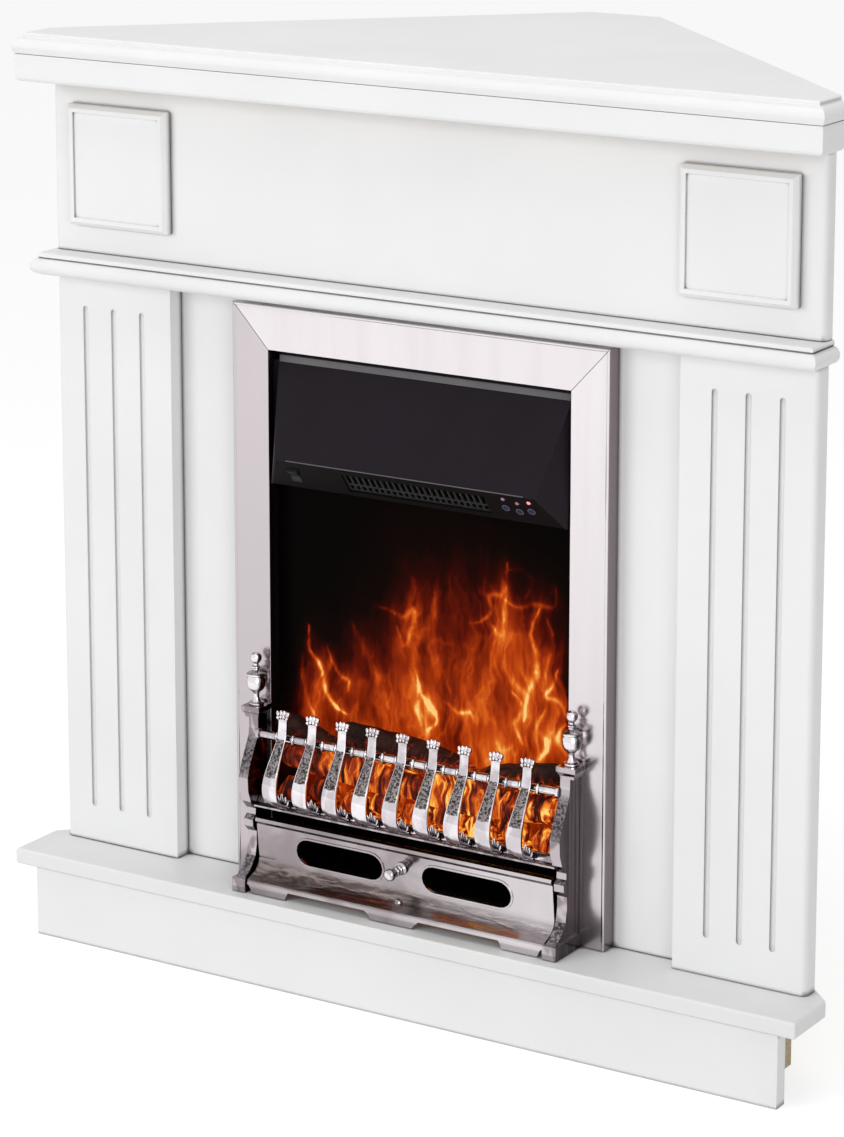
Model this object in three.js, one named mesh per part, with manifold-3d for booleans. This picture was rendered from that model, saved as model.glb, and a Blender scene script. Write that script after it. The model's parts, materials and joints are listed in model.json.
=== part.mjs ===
// A corner fireplace: a white board surround that fills the corner of a room, with an inset
// electric fire, polished trims and a polished fret of bowed bars in front of a fuel bed.
// Millimetres, +Z up. While the pieces are built, Y = 0 is the front face of the infill panel
// and -Y is the room side. The whole group is then moved so that its origin is at floor level
// under the middle of its box. The fire's own heights are measured from the top of the hearth.

import * as THREE from 'three';
import { mergeVertices } from 'three/addons/utils/BufferGeometryUtils.js';
import { ConvexGeometry } from 'three/addons/geometries/ConvexGeometry.js';
import Module from 'manifold-3d';

const wasm = await Module();
wasm.setup();

// ---------------------------------------------------------------- driving dimensions

// clearances
const GAP = 0.3;              // between pieces that touch
const RUN = 0.5;              // round pieces that turn or slide

// overall
const WIDTH = 1000;           // over the nose of the mantel
const HEIGHT = 1045;          // floor to the top of the mantel
const BACK_HALF = 46;         // half the squared-off corner at the back

// mantel
const TOP_T = 23;             // moulded top board
const TOP_FRONT = 68.6;       // how far the mantel nose stands in front of the infill
const TOP_RETURN = 48.6;      // length of its square return before it turns along the wall
const OVOLO = 9;              // run of the quarter-round
const OVOLO_RISE = 10;
const TOP_STEP = 1.5;         // small step above the quarter-round
const TOP_STEP_H = 2.8;
const TOP_BEVEL = 1.2;        // eased upper edge
const NOSE_LIP = 1.5;         // flat under the quarter-round
const UNDERCUT = 3;           // the lip tapers in to the fascia
const FASCIA_H = 31;
const FASCIA_T = 15;
const FASCIA_ROUND = 6;       // rounded lower edge
const CORE_LIFT = 6;          // the core board stops this far above the fascia's lower edge

// front boards
const FRIEZE_T = 18;
const FRIEZE_CLEAR = 1;       // between the frieze and the returns of the fascia
const EDGE_ROUND = 7;         // rounded upright edges of frieze and pilasters
const RAIL_LIFT = 9;          // the rail is this far above the trim of the fire
const RAIL_T = 25;
const RAIL_FRONT = 56;        // nose of the rail in front of the infill
const RAIL_OVERHANG = 9;      // its nose past the end of the frieze
const RAIL_NOSE = 8;          // run of the half-round nose
const RAIL_STEP = 5;          // flat part above the nose
const RAIL_EASE = 1.5;        // eased edges of the rail
const PILASTER_T = 22;
const PILASTER_W = 157;
const PILASTER_INSET = 3.5;   // outer edge in from the end of the frieze
const FLUTE_W = 7;
const FLUTE_DEPTH = 3;
const FLUTE_PITCH = 38.8;
const FLUTE_COUNT = 3;
const FLUTE_FOOT = 42;        // plain part below the flutes
const FLUTE_HEAD = 36;        // plain part above the flutes
const INFILL_T = 15;
const INFILL_INSET = 19;
const PLAQUE_W = 133.5;       // raised square panels on the frieze
const PLAQUE_H = 136.5;
const PLAQUE_SIDE = 8;        // upright edge of the raised panel
const PLAQUE_RISE = 5;        // bevel above that edge
const PLAQUE_BEVEL = 9;
const PLAQUE_MARGIN = 28;     // from the end of the frieze
const PLAQUE_ROUND = 6;

// hearth
const SHELF_T = 19;
const SHELF_FRONT = 91;
const SHELF_EASE = 2;
const PLINTH_H = 83;
const PLINTH_T = 18;
const PLINTH_SETBACK = 8;     // behind the front of the hearth
const PLINTH_INSET = 23;      // in from the ends of the hearth
const PLINTH_SIDE_INSET = 41; // the side boards start this far in from the ends of the front
const PLINTH_WALL_GAP = 12;   // room for a skirting board

// boards along the walls
const SIDE_T = 16;
const SIDE_LENGTH = 150;      // along the wall
const SIDE_WALL_GAP = 4;

// trim round the fire, with heights from the top of the hearth
const TRIM_HALF = 237.5;      // outer edge
const TRIM_TOP = 660;
const TRIM_LEG = 46.5;
const TRIM_HEAD = 50;
const TRIM_PROUD = 20;
const TRIM_PLATE = 3;
const TRIM_LIP = 8;           // return at the inner edge
const TRIM_BEAD = 3;          // raised strip along the outer edge
const TRIM_WALL = 1.6;

// casing
const CASE_LAP = 5;           // reaches this far behind the trim
const CASE_DEPTH = 120;       // behind the face of the infill
const CASE_WALL = 2;
const CASE_CLEAR = 4;         // between the casing and the opening in the infill
const COVER_W = 300;
const COVER_H = 190;
const COVER_Z = 228;          // its middle
const COVER_T = 1.5;
const COVER_LAP = 8;
const LOUVRE_COUNT = 9;
const LOUVRE_W = 180;
const LOUVRE_H = 4;
const LOUVRE_PITCH = 12;
const LOUVRE_X = -20;
const GLAND_X = 120;
const GLAND_DROP = 48;        // below the middle of the cover
const GLAND_R = 9;
const GLAND_FLANGE = 4;
const GLAND_LENGTH = 16;
const CORD_BORE_R = 4;

// hood: its top, the lip that overhangs the fire and the foot that runs back under the lip
const HOOD_TOP_INSET = 3.5;   // from the inner edge of the trim
const HOOD_TOP_DROP = 3;
const HOOD_TOP_Y = -3;
const HOOD_LIP_INSET = 26;
const HOOD_FALL = 111;        // top to lip
const HOOD_LIP_Y = -48;
const HOOD_FOOT_INSET = 3;
const PANEL_FALL = 36;        // lip to foot
const HOOD_FOOT_Y = -20;
const HOOD_BACK_Y = 4;
const HOOD_SHELL = 2.2;
const HOOD_EAR = 10;          // depth of the ears that hold it to the casing

// outlet panel under the lip
const PANEL_T = 2;
const PANEL_EDGE = 3;         // in from the edges of the hood
const GRILLE_X = 8;           // centre of the outlet, right of the middle
const GRILLE_W = 186;
const GRILLE_H = 34;
const GRILLE_T = 3;
const GRILLE_RIM = 3;
const SLOT_COUNT = 23;
const SLAT_W = 2.6;
const SLAT_RAIL = 2.4;        // cross rail in the outlet
const SLAT_RAIL_AT = 0.34;    // share of the height below it
const ROCKER_X = -147;
const ROCKER_W = 13;
const ROCKER_H = 19;
const ROCKER_PROUD = 2.2;
const ROCKER_DEPTH = 4;
const ROCKER_BEND = 1.6;      // the two halves of the face lean this much
const ROCKER_TILT = 8;        // degrees either way, and the switch rests at one end
const ROCKER_PIVOT = 1;       // the pin lies this far behind the face of the panel
const ROCKER_SWING = 0.6;     // extra height of its hole
const BUTTON_R = 4.5;
const BUTTON_DEPTH = 5;
const BUTTON_PROUD = 1.4;
const BUTTON_EASE = 0.5;
const LENS_R = 2.4;
const LENS_DEPTH = 4;
const LENS_DOME = 1.1;
// each control: its place to the right of the middle and its drops below the lip
const CONTROLS = [
  { place: 'left', x: 122, button: 22, lens: 9 },
  { place: 'middle', x: 138, button: 25, lens: 13 },
  { place: 'right', x: 153.5, button: 21.5, lens: 9 },
];
const BOARD_T = 1.6;
const BOARD_BACK = 9;         // control board behind the face of the outlet panel
const BOARD_MARGIN = 8;       // past the buttons
const POST_R = 1.4;

// screen, fuel bed and lights
const SCREEN_Y = 1;
const SCREEN_T = 3;
const SCREEN_LOW = 94;
const BED_LOW = 88;
const BED_T = 12;
const BED_FRONT = -31;
const COAL_COUNT = 9;
const COAL_R = 19;
const COAL_PITCH = 41;
const LIGHT_LENGTH = 330;
const LIGHT_W = 16;
const LIGHT_Y = 32;
const LIGHT_COUNT = 8;
const LIGHT_SIZE = 6;
const SPINDLE_Y = 55;
const SPINDLE_Z = 138;
const SPINDLE_R = 3;
const SPINDLE_HALF = 160;
const VANE_COUNT = 12;
const VANE_REACH = 17;
const VANE_W = 12;
const VANE_T = 1.2;
const VANE_STEP = 36;         // degrees from one vane to the next
const MOTOR_R = 20;
const MOTOR_LENGTH = 22;
const BEARING_R = 9;
const BEARING_PLATE = [36, 28];

// fan heater behind the hood
const FAN_Y = 62;
const FAN_LIFT = 50;          // its axis above the lip of the hood
const FAN_R = 24;
const FAN_HUB = 18;           // inner edge of the blades
const FAN_HALF = 118;
const FAN_BLADES = 12;
const BLADE_T = 1;
const DISC_T = 2;
const SHAFT_R = 3;
const SCROLL_GAP = 7;
const SCROLL_T = 1.6;
const SCROLL_FROM = 200;      // degrees; the rest is open towards the outlet
const SCROLL_TO = -60;
const FAN_MOTOR_R = 22;
const FAN_MOTOR_LENGTH = 40;
const FAN_BRACKET = 12;
const HEATER_HALF = 100;
const HEATER_BARS = 9;
const HEATER_PITCH = 5;
const HEATER_BLOCK = 8;

// fret: cheeks, rails and bars, with heights from the top of the hearth
const CHEEK_OFF = 3;          // inner face outside the inner edge of the trim
const CHEEK_T = 12;
const CHEEK_BACK = 0.6;
const FOOT_FRONT = 74;
const FOOT_STEP = 2.5;        // wider than the cheek on each side
const FOOT_H = 16;
const BLOCK_STEP_IN = 3.5;
const BLOCK_STEP_OUT = 8;
const BLOCK_LOW = 194;
const BLOCK_TOP = 207;
const BLOCK_FRONT = 45;
const NECK_Y = -41.5;         // face of the cheek under its block
const BAR_COUNT = 9;
const END_SPACE = 0.9;        // wider spaces at the ends, as a share of the pitch
const BAR_W = 15;             // at the belly
const BAR_NECK = 0.64;        // share of that width at the top rail
const BELLY_Z = 126;
const BELLY_SPREAD = 34;      // how far above and below the belly the width falls off
const BAR_T = 5;
const GRATE_Y = -40;          // axis of the top rail
const GRATE_Z = 177;
const GRATE_R = 5;
const COLLAR_R = 7;
const COLLAR_HALF = 2.2;
const COLLAR_OFF = 3.2;       // from the side of a bar
const CLAW_R = 4.2;           // lobes that crown each bar
const CLAW_Y = -44.6;
const CLAW_Z = 206;
const LOWER_RAIL_LOW = 94;
const LOWER_RAIL_H = 12;
const LEDGE_H = 4;            // the feet of the bars stand on a ledge of the lower rail
const FINIAL_Y = -32;
const FINIAL_H = 60;

// ashpan cover
const COVER_TOP_Z = 84;
const COVER_SIDE_GAP = 0.9;   // to the feet of the fret
const ASH_T = 3;
const SKIRT_Z = 9.5;          // lower edge between the feet of the cover
const SKIRT_Y = -71.5;
const VENT_W = 113;
const VENT_H = 31;
const VENT_X = 82;
const VENT_Z = 52;
const VENT_RIM = 2.2;
const VENT_RIM_PROUD = 1;
const KNOB_Z = 58;
const KNOB_LENGTH = 29;
const KNOB_R = 7;

// ---------------------------------------------------------------- worked-out places

const MANTEL_HALF = WIDTH / 2;
const WALL_LINE = MANTEL_HALF + TOP_RETURN - TOP_FRONT; // |x| + y of the walls of the room
const BACK_Y = WALL_LINE - BACK_HALF;
const TOP_LOW = HEIGHT - TOP_T;
const FASCIA_HALF = MANTEL_HALF - UNDERCUT;
const FASCIA_FRONT = TOP_FRONT - UNDERCUT;
const FASCIA_TOP = TOP_LOW - GAP;
const FASCIA_LOW = FASCIA_TOP - FASCIA_H;
const CORE_LOW = FASCIA_LOW + CORE_LIFT;
const UNDER_MANTEL = CORE_LOW - GAP;
const SHELF_LOW = PLINTH_H + GAP;
const SHELF_TOP = PLINTH_H + SHELF_T;
const ON_SHELF = SHELF_TOP + GAP;
const RAIL_BOTTOM = SHELF_TOP + TRIM_TOP + RAIL_LIFT;
const RAIL_TOP = RAIL_BOTTOM + RAIL_T;
const FRIEZE_HALF = FASCIA_HALF - FASCIA_T - FRIEZE_CLEAR;
const PILASTER_HALF = FRIEZE_HALF - PILASTER_INSET;
const INFILL_HALF = FRIEZE_HALF - INFILL_INSET;
const PLINTH_HALF = MANTEL_HALF - PLINTH_INSET;
const PLINTH_FRONT = SHELF_FRONT - PLINTH_SETBACK;
const TRIM_IN = TRIM_HALF - TRIM_LEG;
const HEAD_LOW = TRIM_TOP - TRIM_HEAD;
const CASE_HALF = TRIM_IN + CASE_LAP;
const CASE_INNER = CASE_HALF - CASE_WALL;
const CASE_TOP = HEAD_LOW + CASE_LAP + 1;
const CASE_ROOF = CASE_TOP - CASE_WALL - GAP;
const CASE_FRONT = TRIM_PLATE - TRIM_PROUD + GAP;
const HOOD_TOP_Z = HEAD_LOW - HOOD_TOP_DROP;
const HOOD_LIP_Z = HOOD_TOP_Z - HOOD_FALL;
const HOOD_FOOT_Z = HOOD_LIP_Z - PANEL_FALL;
const HOOD_TOP_HALF = TRIM_IN - HOOD_TOP_INSET;
const HOOD_LIP_HALF = TRIM_IN - HOOD_LIP_INSET;
const HOOD_FOOT_HALF = TRIM_IN - HOOD_FOOT_INSET;
const PANEL_RUN = HOOD_LIP_Y - HOOD_FOOT_Y;
const PANEL_LENGTH = Math.hypot(PANEL_RUN, PANEL_FALL);
const PANEL_MIDDLE = PANEL_LENGTH / 2 - 1;
const FAN_Z = HOOD_LIP_Z + FAN_LIFT;
const FRET_BACK = -TRIM_PROUD - CHEEK_BACK / 2;
const CHEEK_IN = TRIM_IN + CHEEK_OFF;
const CHEEK_OUT = CHEEK_IN + CHEEK_T;
const BAR_PITCH = (2 * CHEEK_IN) / (BAR_COUNT + END_SPACE);
const FAR = 2 * (WIDTH + HEIGHT);                       // reach of a cutter that runs right past

// ---------------------------------------------------------------- materials

const finish = (color, roughness, metalness) => () =>
  new THREE.MeshStandardMaterial({ color, roughness, metalness });
const lacquer = finish(0xf4f4f4, 0.35, 0);
const rawBoard = finish(0xcdb891, 0.8, 0);
const chrome = finish(0xe2dde0, 0.08, 1);
const blackSteel = finish(0x2c282c, 0.45, 0.3);
const blackPlastic = finish(0x1b1b1d, 0.5, 0);
const greyPlastic = finish(0x55585c, 0.5, 0);
const dullLens = finish(0x5c3d47, 0.25, 0);
const litLens = finish(0xe06070, 0.2, 0);
const smokedGlass = finish(0x3a0d04, 0.08, 0);
const embers = finish(0x5a2414, 0.85, 0);
const steel = finish(0x9aa0a6, 0.4, 0.9);
const circuit = finish(0x1e5a34, 0.6, 0);

// ---------------------------------------------------------------- solid helpers

/** A closed geometry as a solid that can be joined and cut. */
function solid(geometry) {
  const bare = geometry.clone();
  bare.deleteAttribute('normal');
  bare.deleteAttribute('uv');
  const merged = mergeVertices(bare, 1e-4);
  const vertProperties = new Float32Array(merged.attributes.position.array);
  const triVerts = new Uint32Array(merged.index.array);
  return new wasm.Manifold(new wasm.Mesh({ numProp: 3, vertProperties, triVerts }));
}

/** A solid back as a geometry. */
function geometryOf(shape) {
  const mesh = shape.getMesh();
  const geometry = new THREE.BufferGeometry();
  geometry.setAttribute('position', new THREE.BufferAttribute(mesh.vertProperties, 3));
  geometry.setIndex(new THREE.BufferAttribute(mesh.triVerts, 1));
  geometry.computeVertexNormals();
  return geometry;
}

const join = (geometries) =>
  geometryOf(geometries.map(solid).reduce((whole, piece) => whole.add(piece)));
const cut = (geometry, tools) =>
  geometryOf(tools.map(solid).reduce((whole, tool) => whole.subtract(tool), solid(geometry)));

/** A box from its limits on each axis. */
function box([x0, x1], [y0, y1], [z0, z1]) {
  const geometry = new THREE.BoxGeometry(x1 - x0, y1 - y0, z1 - z0);
  return geometry.translate((x0 + x1) / 2, (y0 + y1) / 2, (z0 + z1) / 2);
}

/** Two limits on one side of the middle, in rising order. */
const span = (side, a, b) => [side * a, side * b].sort((p, q) => p - q);

/** A flat outline from [a, b] pairs. */
const outline = (points) => new THREE.Shape(points.map(([a, b]) => new THREE.Vector2(a, b)));

/** A cylinder along X, Y or Z, centred at a place. */
function rod(axis, radius, length, [x, y, z], sides = 16) {
  const geometry = new THREE.CylinderGeometry(radius, radius, length, sides);
  if (axis === 'x') geometry.rotateZ(Math.PI / 2);
  if (axis === 'z') geometry.rotateX(Math.PI / 2);
  return geometry.translate(x, y, z);
}

/** An outline pulled straight up from the XY plane. */
const pulled = (shape, depth, curveSegments = 6) =>
  new THREE.ExtrudeGeometry(shape, { depth, bevelEnabled: false, curveSegments });

/** An outline in (y, z) pulled along X. */
function pullAlongX(shape, [x0, x1]) {
  const turn = new THREE.Matrix4().makeBasis(
    new THREE.Vector3(0, 1, 0), new THREE.Vector3(0, 0, 1), new THREE.Vector3(1, 0, 0));
  return pulled(shape, x1 - x0).applyMatrix4(turn).translate(x0, 0, 0);
}

/** An outline in (x, z) pulled along Y. */
const pullAlongY = (shape, [y0, y1], segments) =>
  pulled(shape, y1 - y0, segments).rotateX(Math.PI / 2).translate(0, y1, 0);

/** An outline in (x, y) pulled up along Z. */
const pullAlongZ = (shape, [z0, z1]) => pulled(shape, z1 - z0).translate(0, 0, z0);

/** A solid through convex rings of the same number of [x, y, z] points, from the lowest up. */
function loft(rings) {
  const count = rings[0].length;
  const faces = [];
  for (let ring = 0; ring + 1 < rings.length; ring += 1) {
    for (let i = 0; i < count; i += 1) {
      const a = ring * count + i;
      const b = ring * count + ((i + 1) % count);
      faces.push(a, b, b + count, a, b + count, a + count);
    }
  }
  const last = (rings.length - 1) * count;
  for (let i = 1; i + 1 < count; i += 1) {
    faces.push(0, i + 1, i);
    faces.push(last, last + i, last + i + 1);
  }
  const geometry = new THREE.BufferGeometry();
  geometry.setAttribute('position', new THREE.Float32BufferAttribute(rings.flat(2), 3));
  geometry.setIndex(faces);
  geometry.computeVertexNormals();
  return geometry;
}

/** A turned solid from [radius, height] pairs, standing along Z. */
function turned(profile, sides) {
  const points = profile.map(([r, h]) => new THREE.Vector2(r, h));
  return new THREE.LatheGeometry(points, sides).rotateX(Math.PI / 2);
}

/** Points of an arc from one angle to another, in degrees. */
function arc([a, b], [ra, rb], from, to, steps) {
  const points = [];
  for (let i = 0; i <= steps; i += 1) {
    const angle = THREE.MathUtils.degToRad(from + ((to - from) * i) / steps);
    points.push([a + ra * Math.cos(angle), b + rb * Math.sin(angle)]);
  }
  return points;
}

/** The corners of a rectangle with round corners, as points. */
function roundedRectangle([a0, a1], [b0, b1], radius, steps = 3) {
  const r = [radius, radius];
  const corners = [[a1 - radius, b1 - radius], [a0 + radius, b1 - radius], [a0 + radius, b0 + radius], [a1 - radius, b0 + radius]];
  return corners.flatMap((centre, i) => arc(centre, r, 90 * i, 90 * i + 90, steps));
}

const rectangle = ([a0, a1], [b0, b1]) => outline([[a0, b0], [a1, b0], [a1, b1], [a0, b1]]);
const disc = (centre, radius, sides) => outline(arc(centre, [radius, radius], 0, 360 - 360 / sides, sides - 1));

/** An oblong with round ends, lying along the first axis. */
function oblong(length, height) {
  const r = height / 2;
  const right = arc([length / 2 - r, 0], [r, r], -90, 90, 8);
  const left = arc([r - length / 2, 0], [r, r], 90, 270, 8);
  return outline([...right, ...left]);
}

const fireplace = new THREE.Group();
const surround = new THREE.Group();
const fire = new THREE.Group();
fire.position.z = SHELF_TOP;
fireplace.add(surround);
surround.add(fire);

/** Adds one named piece to a group. */
function piece(group, name, geometry, material) {
  const mesh = new THREE.Mesh(geometry, material());
  mesh.name = name;
  group.add(mesh);
  return mesh;
}

/** Adds a left and a right piece. */
function pair(group, name, make, material) {
  piece(group, `${name}_left`, make(-1), material);
  piece(group, `${name}_right`, make(1), material);
}

// ---------------------------------------------------------------- plan of the corner

/** The corner plan at one level: front, two square returns, two walls and the squared-off back. */
function cornerRing(half, front, z, wallLine = WALL_LINE) {
  const side = wallLine - half;
  const back = wallLine - BACK_HALF;
  return [
    [-half, -front, z], [half, -front, z], [half, side, z],
    [BACK_HALF, back, z], [-BACK_HALF, back, z], [-half, side, z],
  ];
}

/** A corner slab whose front and returns follow a profile of [offset, z] pairs. */
const cornerSlab = (half, front, profile) =>
  loft(profile.map(([offset, z]) => cornerRing(half + offset, front + offset, z)));

/** A straight moulding with square returns, following a profile of [offset, z] pairs. */
const mouldedBar = (half, front, back, profile) =>
  loft(profile.map(([offset, z]) => [
    [-half - offset, -front - offset, z], [half + offset, -front - offset, z],
    [half + offset, back, z], [-half - offset, back, z],
  ]));

// ---------------------------------------------------------------- mantel

function mantelTop() {
  const roundTop = HEIGHT - TOP_BEVEL - TOP_STEP_H - 1;
  const ovolo = arc([-OVOLO, roundTop - OVOLO_RISE], [OVOLO, OVOLO_RISE], 0, 90, 5);
  const step = -OVOLO - TOP_STEP;
  return cornerSlab(MANTEL_HALF, TOP_FRONT, [
    [-UNDERCUT, TOP_LOW],
    [0, roundTop - OVOLO_RISE - NOSE_LIP],
    ...ovolo,
    [step, HEIGHT - TOP_BEVEL - TOP_STEP_H],
    [step, HEIGHT - TOP_BEVEL],
    [step - TOP_BEVEL, HEIGHT],
  ]);
}

function mantelFascia() {
  const r = FASCIA_ROUND;
  const round = arc([-r, FASCIA_LOW + r], [r, r], -90, 0, 4);
  const outer = cornerSlab(FASCIA_HALF, FASCIA_FRONT, [...round, [0, FASCIA_TOP]]);
  const inner = [0, HEIGHT + TOP_T].map((z) =>
    cornerRing(FASCIA_HALF - FASCIA_T, FASCIA_FRONT - FASCIA_T, z, 2 * WALL_LINE));
  return cut(outer, [loft(inner)]);
}

function mantelCore() {
  const inset = FASCIA_T + GAP;
  return loft([CORE_LOW, FASCIA_TOP].map((z) => cornerRing(FASCIA_HALF - inset, FASCIA_FRONT - inset, z)));
}

piece(surround, 'mantel_top', mantelTop(), lacquer);
piece(surround, 'mantel_fascia', mantelFascia(), lacquer);
piece(surround, 'mantel_core', mantelCore(), rawBoard);

// ---------------------------------------------------------------- front boards

/** A board on the face of the infill with one or both upright edges rounded. */
function uprightBoard([x0, x1], thickness, [z0, z1], roundLeft, roundRight) {
  const r = EDGE_ROUND;
  const front = -thickness;
  const left = roundLeft ? arc([x0 + r, front + r], [r, r], 180, 270, 4) : [[x0, front]];
  const right = roundRight ? arc([x1 - r, front + r], [r, r], 270, 360, 4) : [[x1, front]];
  return pullAlongZ(outline([...left, ...right, [x1, -GAP], [x0, -GAP]]), [z0, z1]);
}

function friezeBoard() {
  return uprightBoard([-FRIEZE_HALF, FRIEZE_HALF], FRIEZE_T, [RAIL_TOP + GAP, UNDER_MANTEL], true, true);
}

/** A round-ended groove cutter standing upright on the face of a pilaster. */
function fluteCutter(x) {
  const r = FLUTE_W / 2;
  const low = SHELF_TOP + FLUTE_FOOT;
  const high = RAIL_BOTTOM - FLUTE_HEAD;
  const cutter = new THREE.CapsuleGeometry(r, high - low - FLUTE_W, 3, 10).rotateX(Math.PI / 2);
  return cutter.scale(1, FLUTE_DEPTH / r, 1).translate(x, -PILASTER_T, (high + low) / 2);
}

function pilaster(side) {
  const limits = span(side, PILASTER_HALF - PILASTER_W, PILASTER_HALF);
  const plank = uprightBoard(limits, PILASTER_T, [ON_SHELF, RAIL_BOTTOM - GAP], side < 0, side > 0);
  const middle = side * (PILASTER_HALF - PILASTER_W / 2);
  const flutes = Array.from({ length: FLUTE_COUNT }, (_, i) =>
    fluteCutter(middle + (i - (FLUTE_COUNT - 1) / 2) * FLUTE_PITCH));
  return cut(plank, flutes);
}

function midRail() {
  const r = (RAIL_T - RAIL_STEP - 2) / 2;
  const stepIn = -RAIL_NOSE + RAIL_EASE;
  return mouldedBar(FRIEZE_HALF + RAIL_OVERHANG, RAIL_FRONT, -GAP, [
    [-RAIL_NOSE - 1, RAIL_BOTTOM],
    ...arc([-RAIL_NOSE, RAIL_BOTTOM + 1 + r], [RAIL_NOSE, r], -90, 90, 8),
    [stepIn, RAIL_TOP - RAIL_STEP + 0.5],
    [stepIn, RAIL_TOP - RAIL_EASE],
    [stepIn - RAIL_EASE, RAIL_TOP],
  ]);
}

/** A raised square panel with upright edges and a bevelled face. */
function friezePanel(side) {
  const level = (inset, rise) => {
    const w = PLAQUE_W / 2 - inset;
    const h = PLAQUE_H / 2 - inset;
    return roundedRectangle([-w, w], [-h, h], PLAQUE_ROUND).map(([a, b]) => [a, b, rise]);
  };
  const rings = [
    level(0, 0), level(0, PLAQUE_SIDE - 1), level(1, PLAQUE_SIDE),
    level(PLAQUE_BEVEL, PLAQUE_SIDE + PLAQUE_RISE)];
  const x = side * (FRIEZE_HALF - PLAQUE_MARGIN - PLAQUE_W / 2);
  return loft(rings).rotateX(Math.PI / 2).translate(x, -FRIEZE_T - GAP, (RAIL_TOP + UNDER_MANTEL) / 2);
}

function infillPanel() {
  const plank = box([-INFILL_HALF, INFILL_HALF], [0, INFILL_T], [ON_SHELF, UNDER_MANTEL]);
  const reach = CASE_HALF + CASE_CLEAR;
  return cut(plank, [box([-reach, reach], [-FAR, FAR], [0, SHELF_TOP + CASE_TOP + CASE_CLEAR])]);
}

piece(surround, 'frieze_board', friezeBoard(), lacquer);
pair(surround, 'frieze_panel', friezePanel, lacquer);
piece(surround, 'mid_rail', midRail(), lacquer);
pair(surround, 'pilaster', pilaster, lacquer);
piece(surround, 'infill_panel', infillPanel(), lacquer);

// ---------------------------------------------------------------- hearth and boards along the walls

function hearthShelf() {
  const r = SHELF_EASE;
  return cornerSlab(MANTEL_HALF, SHELF_FRONT, [
    [-r, SHELF_LOW], [0, SHELF_LOW + r], [0, SHELF_TOP - r], [-r, SHELF_TOP]]);
}

function plinthFront() {
  return box([-PLINTH_HALF, PLINTH_HALF], [-PLINTH_FRONT, PLINTH_T - PLINTH_FRONT], [0, PLINTH_H]);
}

/** A board that lies along one wall, between two distances from the middle of the fireplace. */
function wallBoard(side, [near, far], thickness, [z0, z1], wallGap) {
  const deep = thickness * Math.SQRT2;
  const line = WALL_LINE - wallGap;
  const corners = [[far, line - far], [near, line - near], [near, line - near - deep], [far, line - far - deep]];
  const points = corners.map(([x, y]) => [side * x, y]);
  return pullAlongZ(outline(side < 0 ? points.reverse() : points), [z0, z1]);
}

function plinthSide(side) {
  const reach = [BACK_HALF / 2, PLINTH_HALF - PLINTH_SIDE_INSET];
  const plank = wallBoard(side, reach, PLINTH_T, [0, PLINTH_H], PLINTH_WALL_GAP);
  return cut(plank, [box([-FAR, FAR], [BACK_Y - PLINTH_WALL_GAP, FAR], [-FAR, FAR])]);
}

function sideReturn(side) {
  const reach = [INFILL_HALF - SIDE_LENGTH / Math.SQRT2, INFILL_HALF + 2 * SIDE_T];
  const plank = wallBoard(side, reach, SIDE_T, [ON_SHELF, UNDER_MANTEL], SIDE_WALL_GAP);
  return cut(plank, [box([-FAR, FAR], [-FAR, INFILL_T + GAP], [-FAR, FAR])]);
}

piece(surround, 'hearth_shelf', hearthShelf(), lacquer);
piece(surround, 'plinth_front', plinthFront(), lacquer);
pair(surround, 'plinth_side', plinthSide, rawBoard);
pair(surround, 'side_return', sideReturn, lacquer);

// ---------------------------------------------------------------- trim round the fire

/** The trim's section in (a, y): a runs from the inner edge to the outer edge. */
function trimSection(width) {
  const face = -TRIM_PROUD;
  const plate = face + TRIM_PLATE;
  return [
    [0, face], [width - TRIM_BEAD - 1, face], [width - TRIM_BEAD, face - 1], [width - 1, face - 1],
    [width, face], [width, -GAP], [width - TRIM_WALL, -GAP], [width - TRIM_WALL, plate],
    [TRIM_WALL, plate], [TRIM_WALL, face + TRIM_LIP], [0, face + TRIM_LIP],
  ];
}

/** A leg of the trim: it stands on the hearth and ends in a mitre. */
function trimLeg(side) {
  const points = trimSection(TRIM_LEG).map(([a, y]) => [side * (TRIM_IN + a), y]);
  const leg = pullAlongZ(outline(side < 0 ? points : points.reverse()), [0, 1]);
  const position = leg.attributes.position;
  for (let i = 0; i < position.count; i += 1) {
    const a = Math.abs(position.getX(i)) - TRIM_IN;
    const mitre = HEAD_LOW + (a * TRIM_HEAD) / TRIM_LEG - GAP / 2;
    position.setZ(i, position.getZ(i) > 0.5 ? mitre : GAP);
  }
  return leg;
}

/** The head of the trim, mitred at both ends. */
function trimHead() {
  const points = trimSection(TRIM_HEAD).map(([a, y]) => [y, HEAD_LOW + a]);
  const head = pullAlongX(outline(points.reverse()), [0, 1]);
  const position = head.attributes.position;
  for (let i = 0; i < position.count; i += 1) {
    const mitre = TRIM_IN + ((position.getZ(i) - HEAD_LOW) * TRIM_LEG) / TRIM_HEAD - GAP / 2;
    position.setX(i, position.getX(i) > 0.5 ? mitre : -mitre);
  }
  return head;
}

pair(fire, 'trim', trimLeg, chrome);
piece(fire, 'trim_top', trimHead(), chrome);

// ---------------------------------------------------------------- casing

function fireCasing() {
  const t = CASE_WALL;
  const outer = box([-CASE_HALF, CASE_HALF], [CASE_FRONT, CASE_DEPTH], [GAP, CASE_TOP]);
  const hollow = box([-CASE_INNER, CASE_INNER], [-FAR, CASE_DEPTH - t], [GAP + t, CASE_TOP - t]);
  const w = COVER_W / 2 - COVER_LAP;
  const h = COVER_H / 2 - COVER_LAP;
  const hatch = box([-w, w], [0, FAR], [COVER_Z - h, COVER_Z + h]);
  const lipRoom = box([-CASE_INNER, CASE_INNER], [-FAR, TRIM_LIP - TRIM_PROUD + GAP], [-FAR, CASE_TOP - t]);
  return cut(outer, [hollow, hatch, lipRoom]);
}

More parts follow.
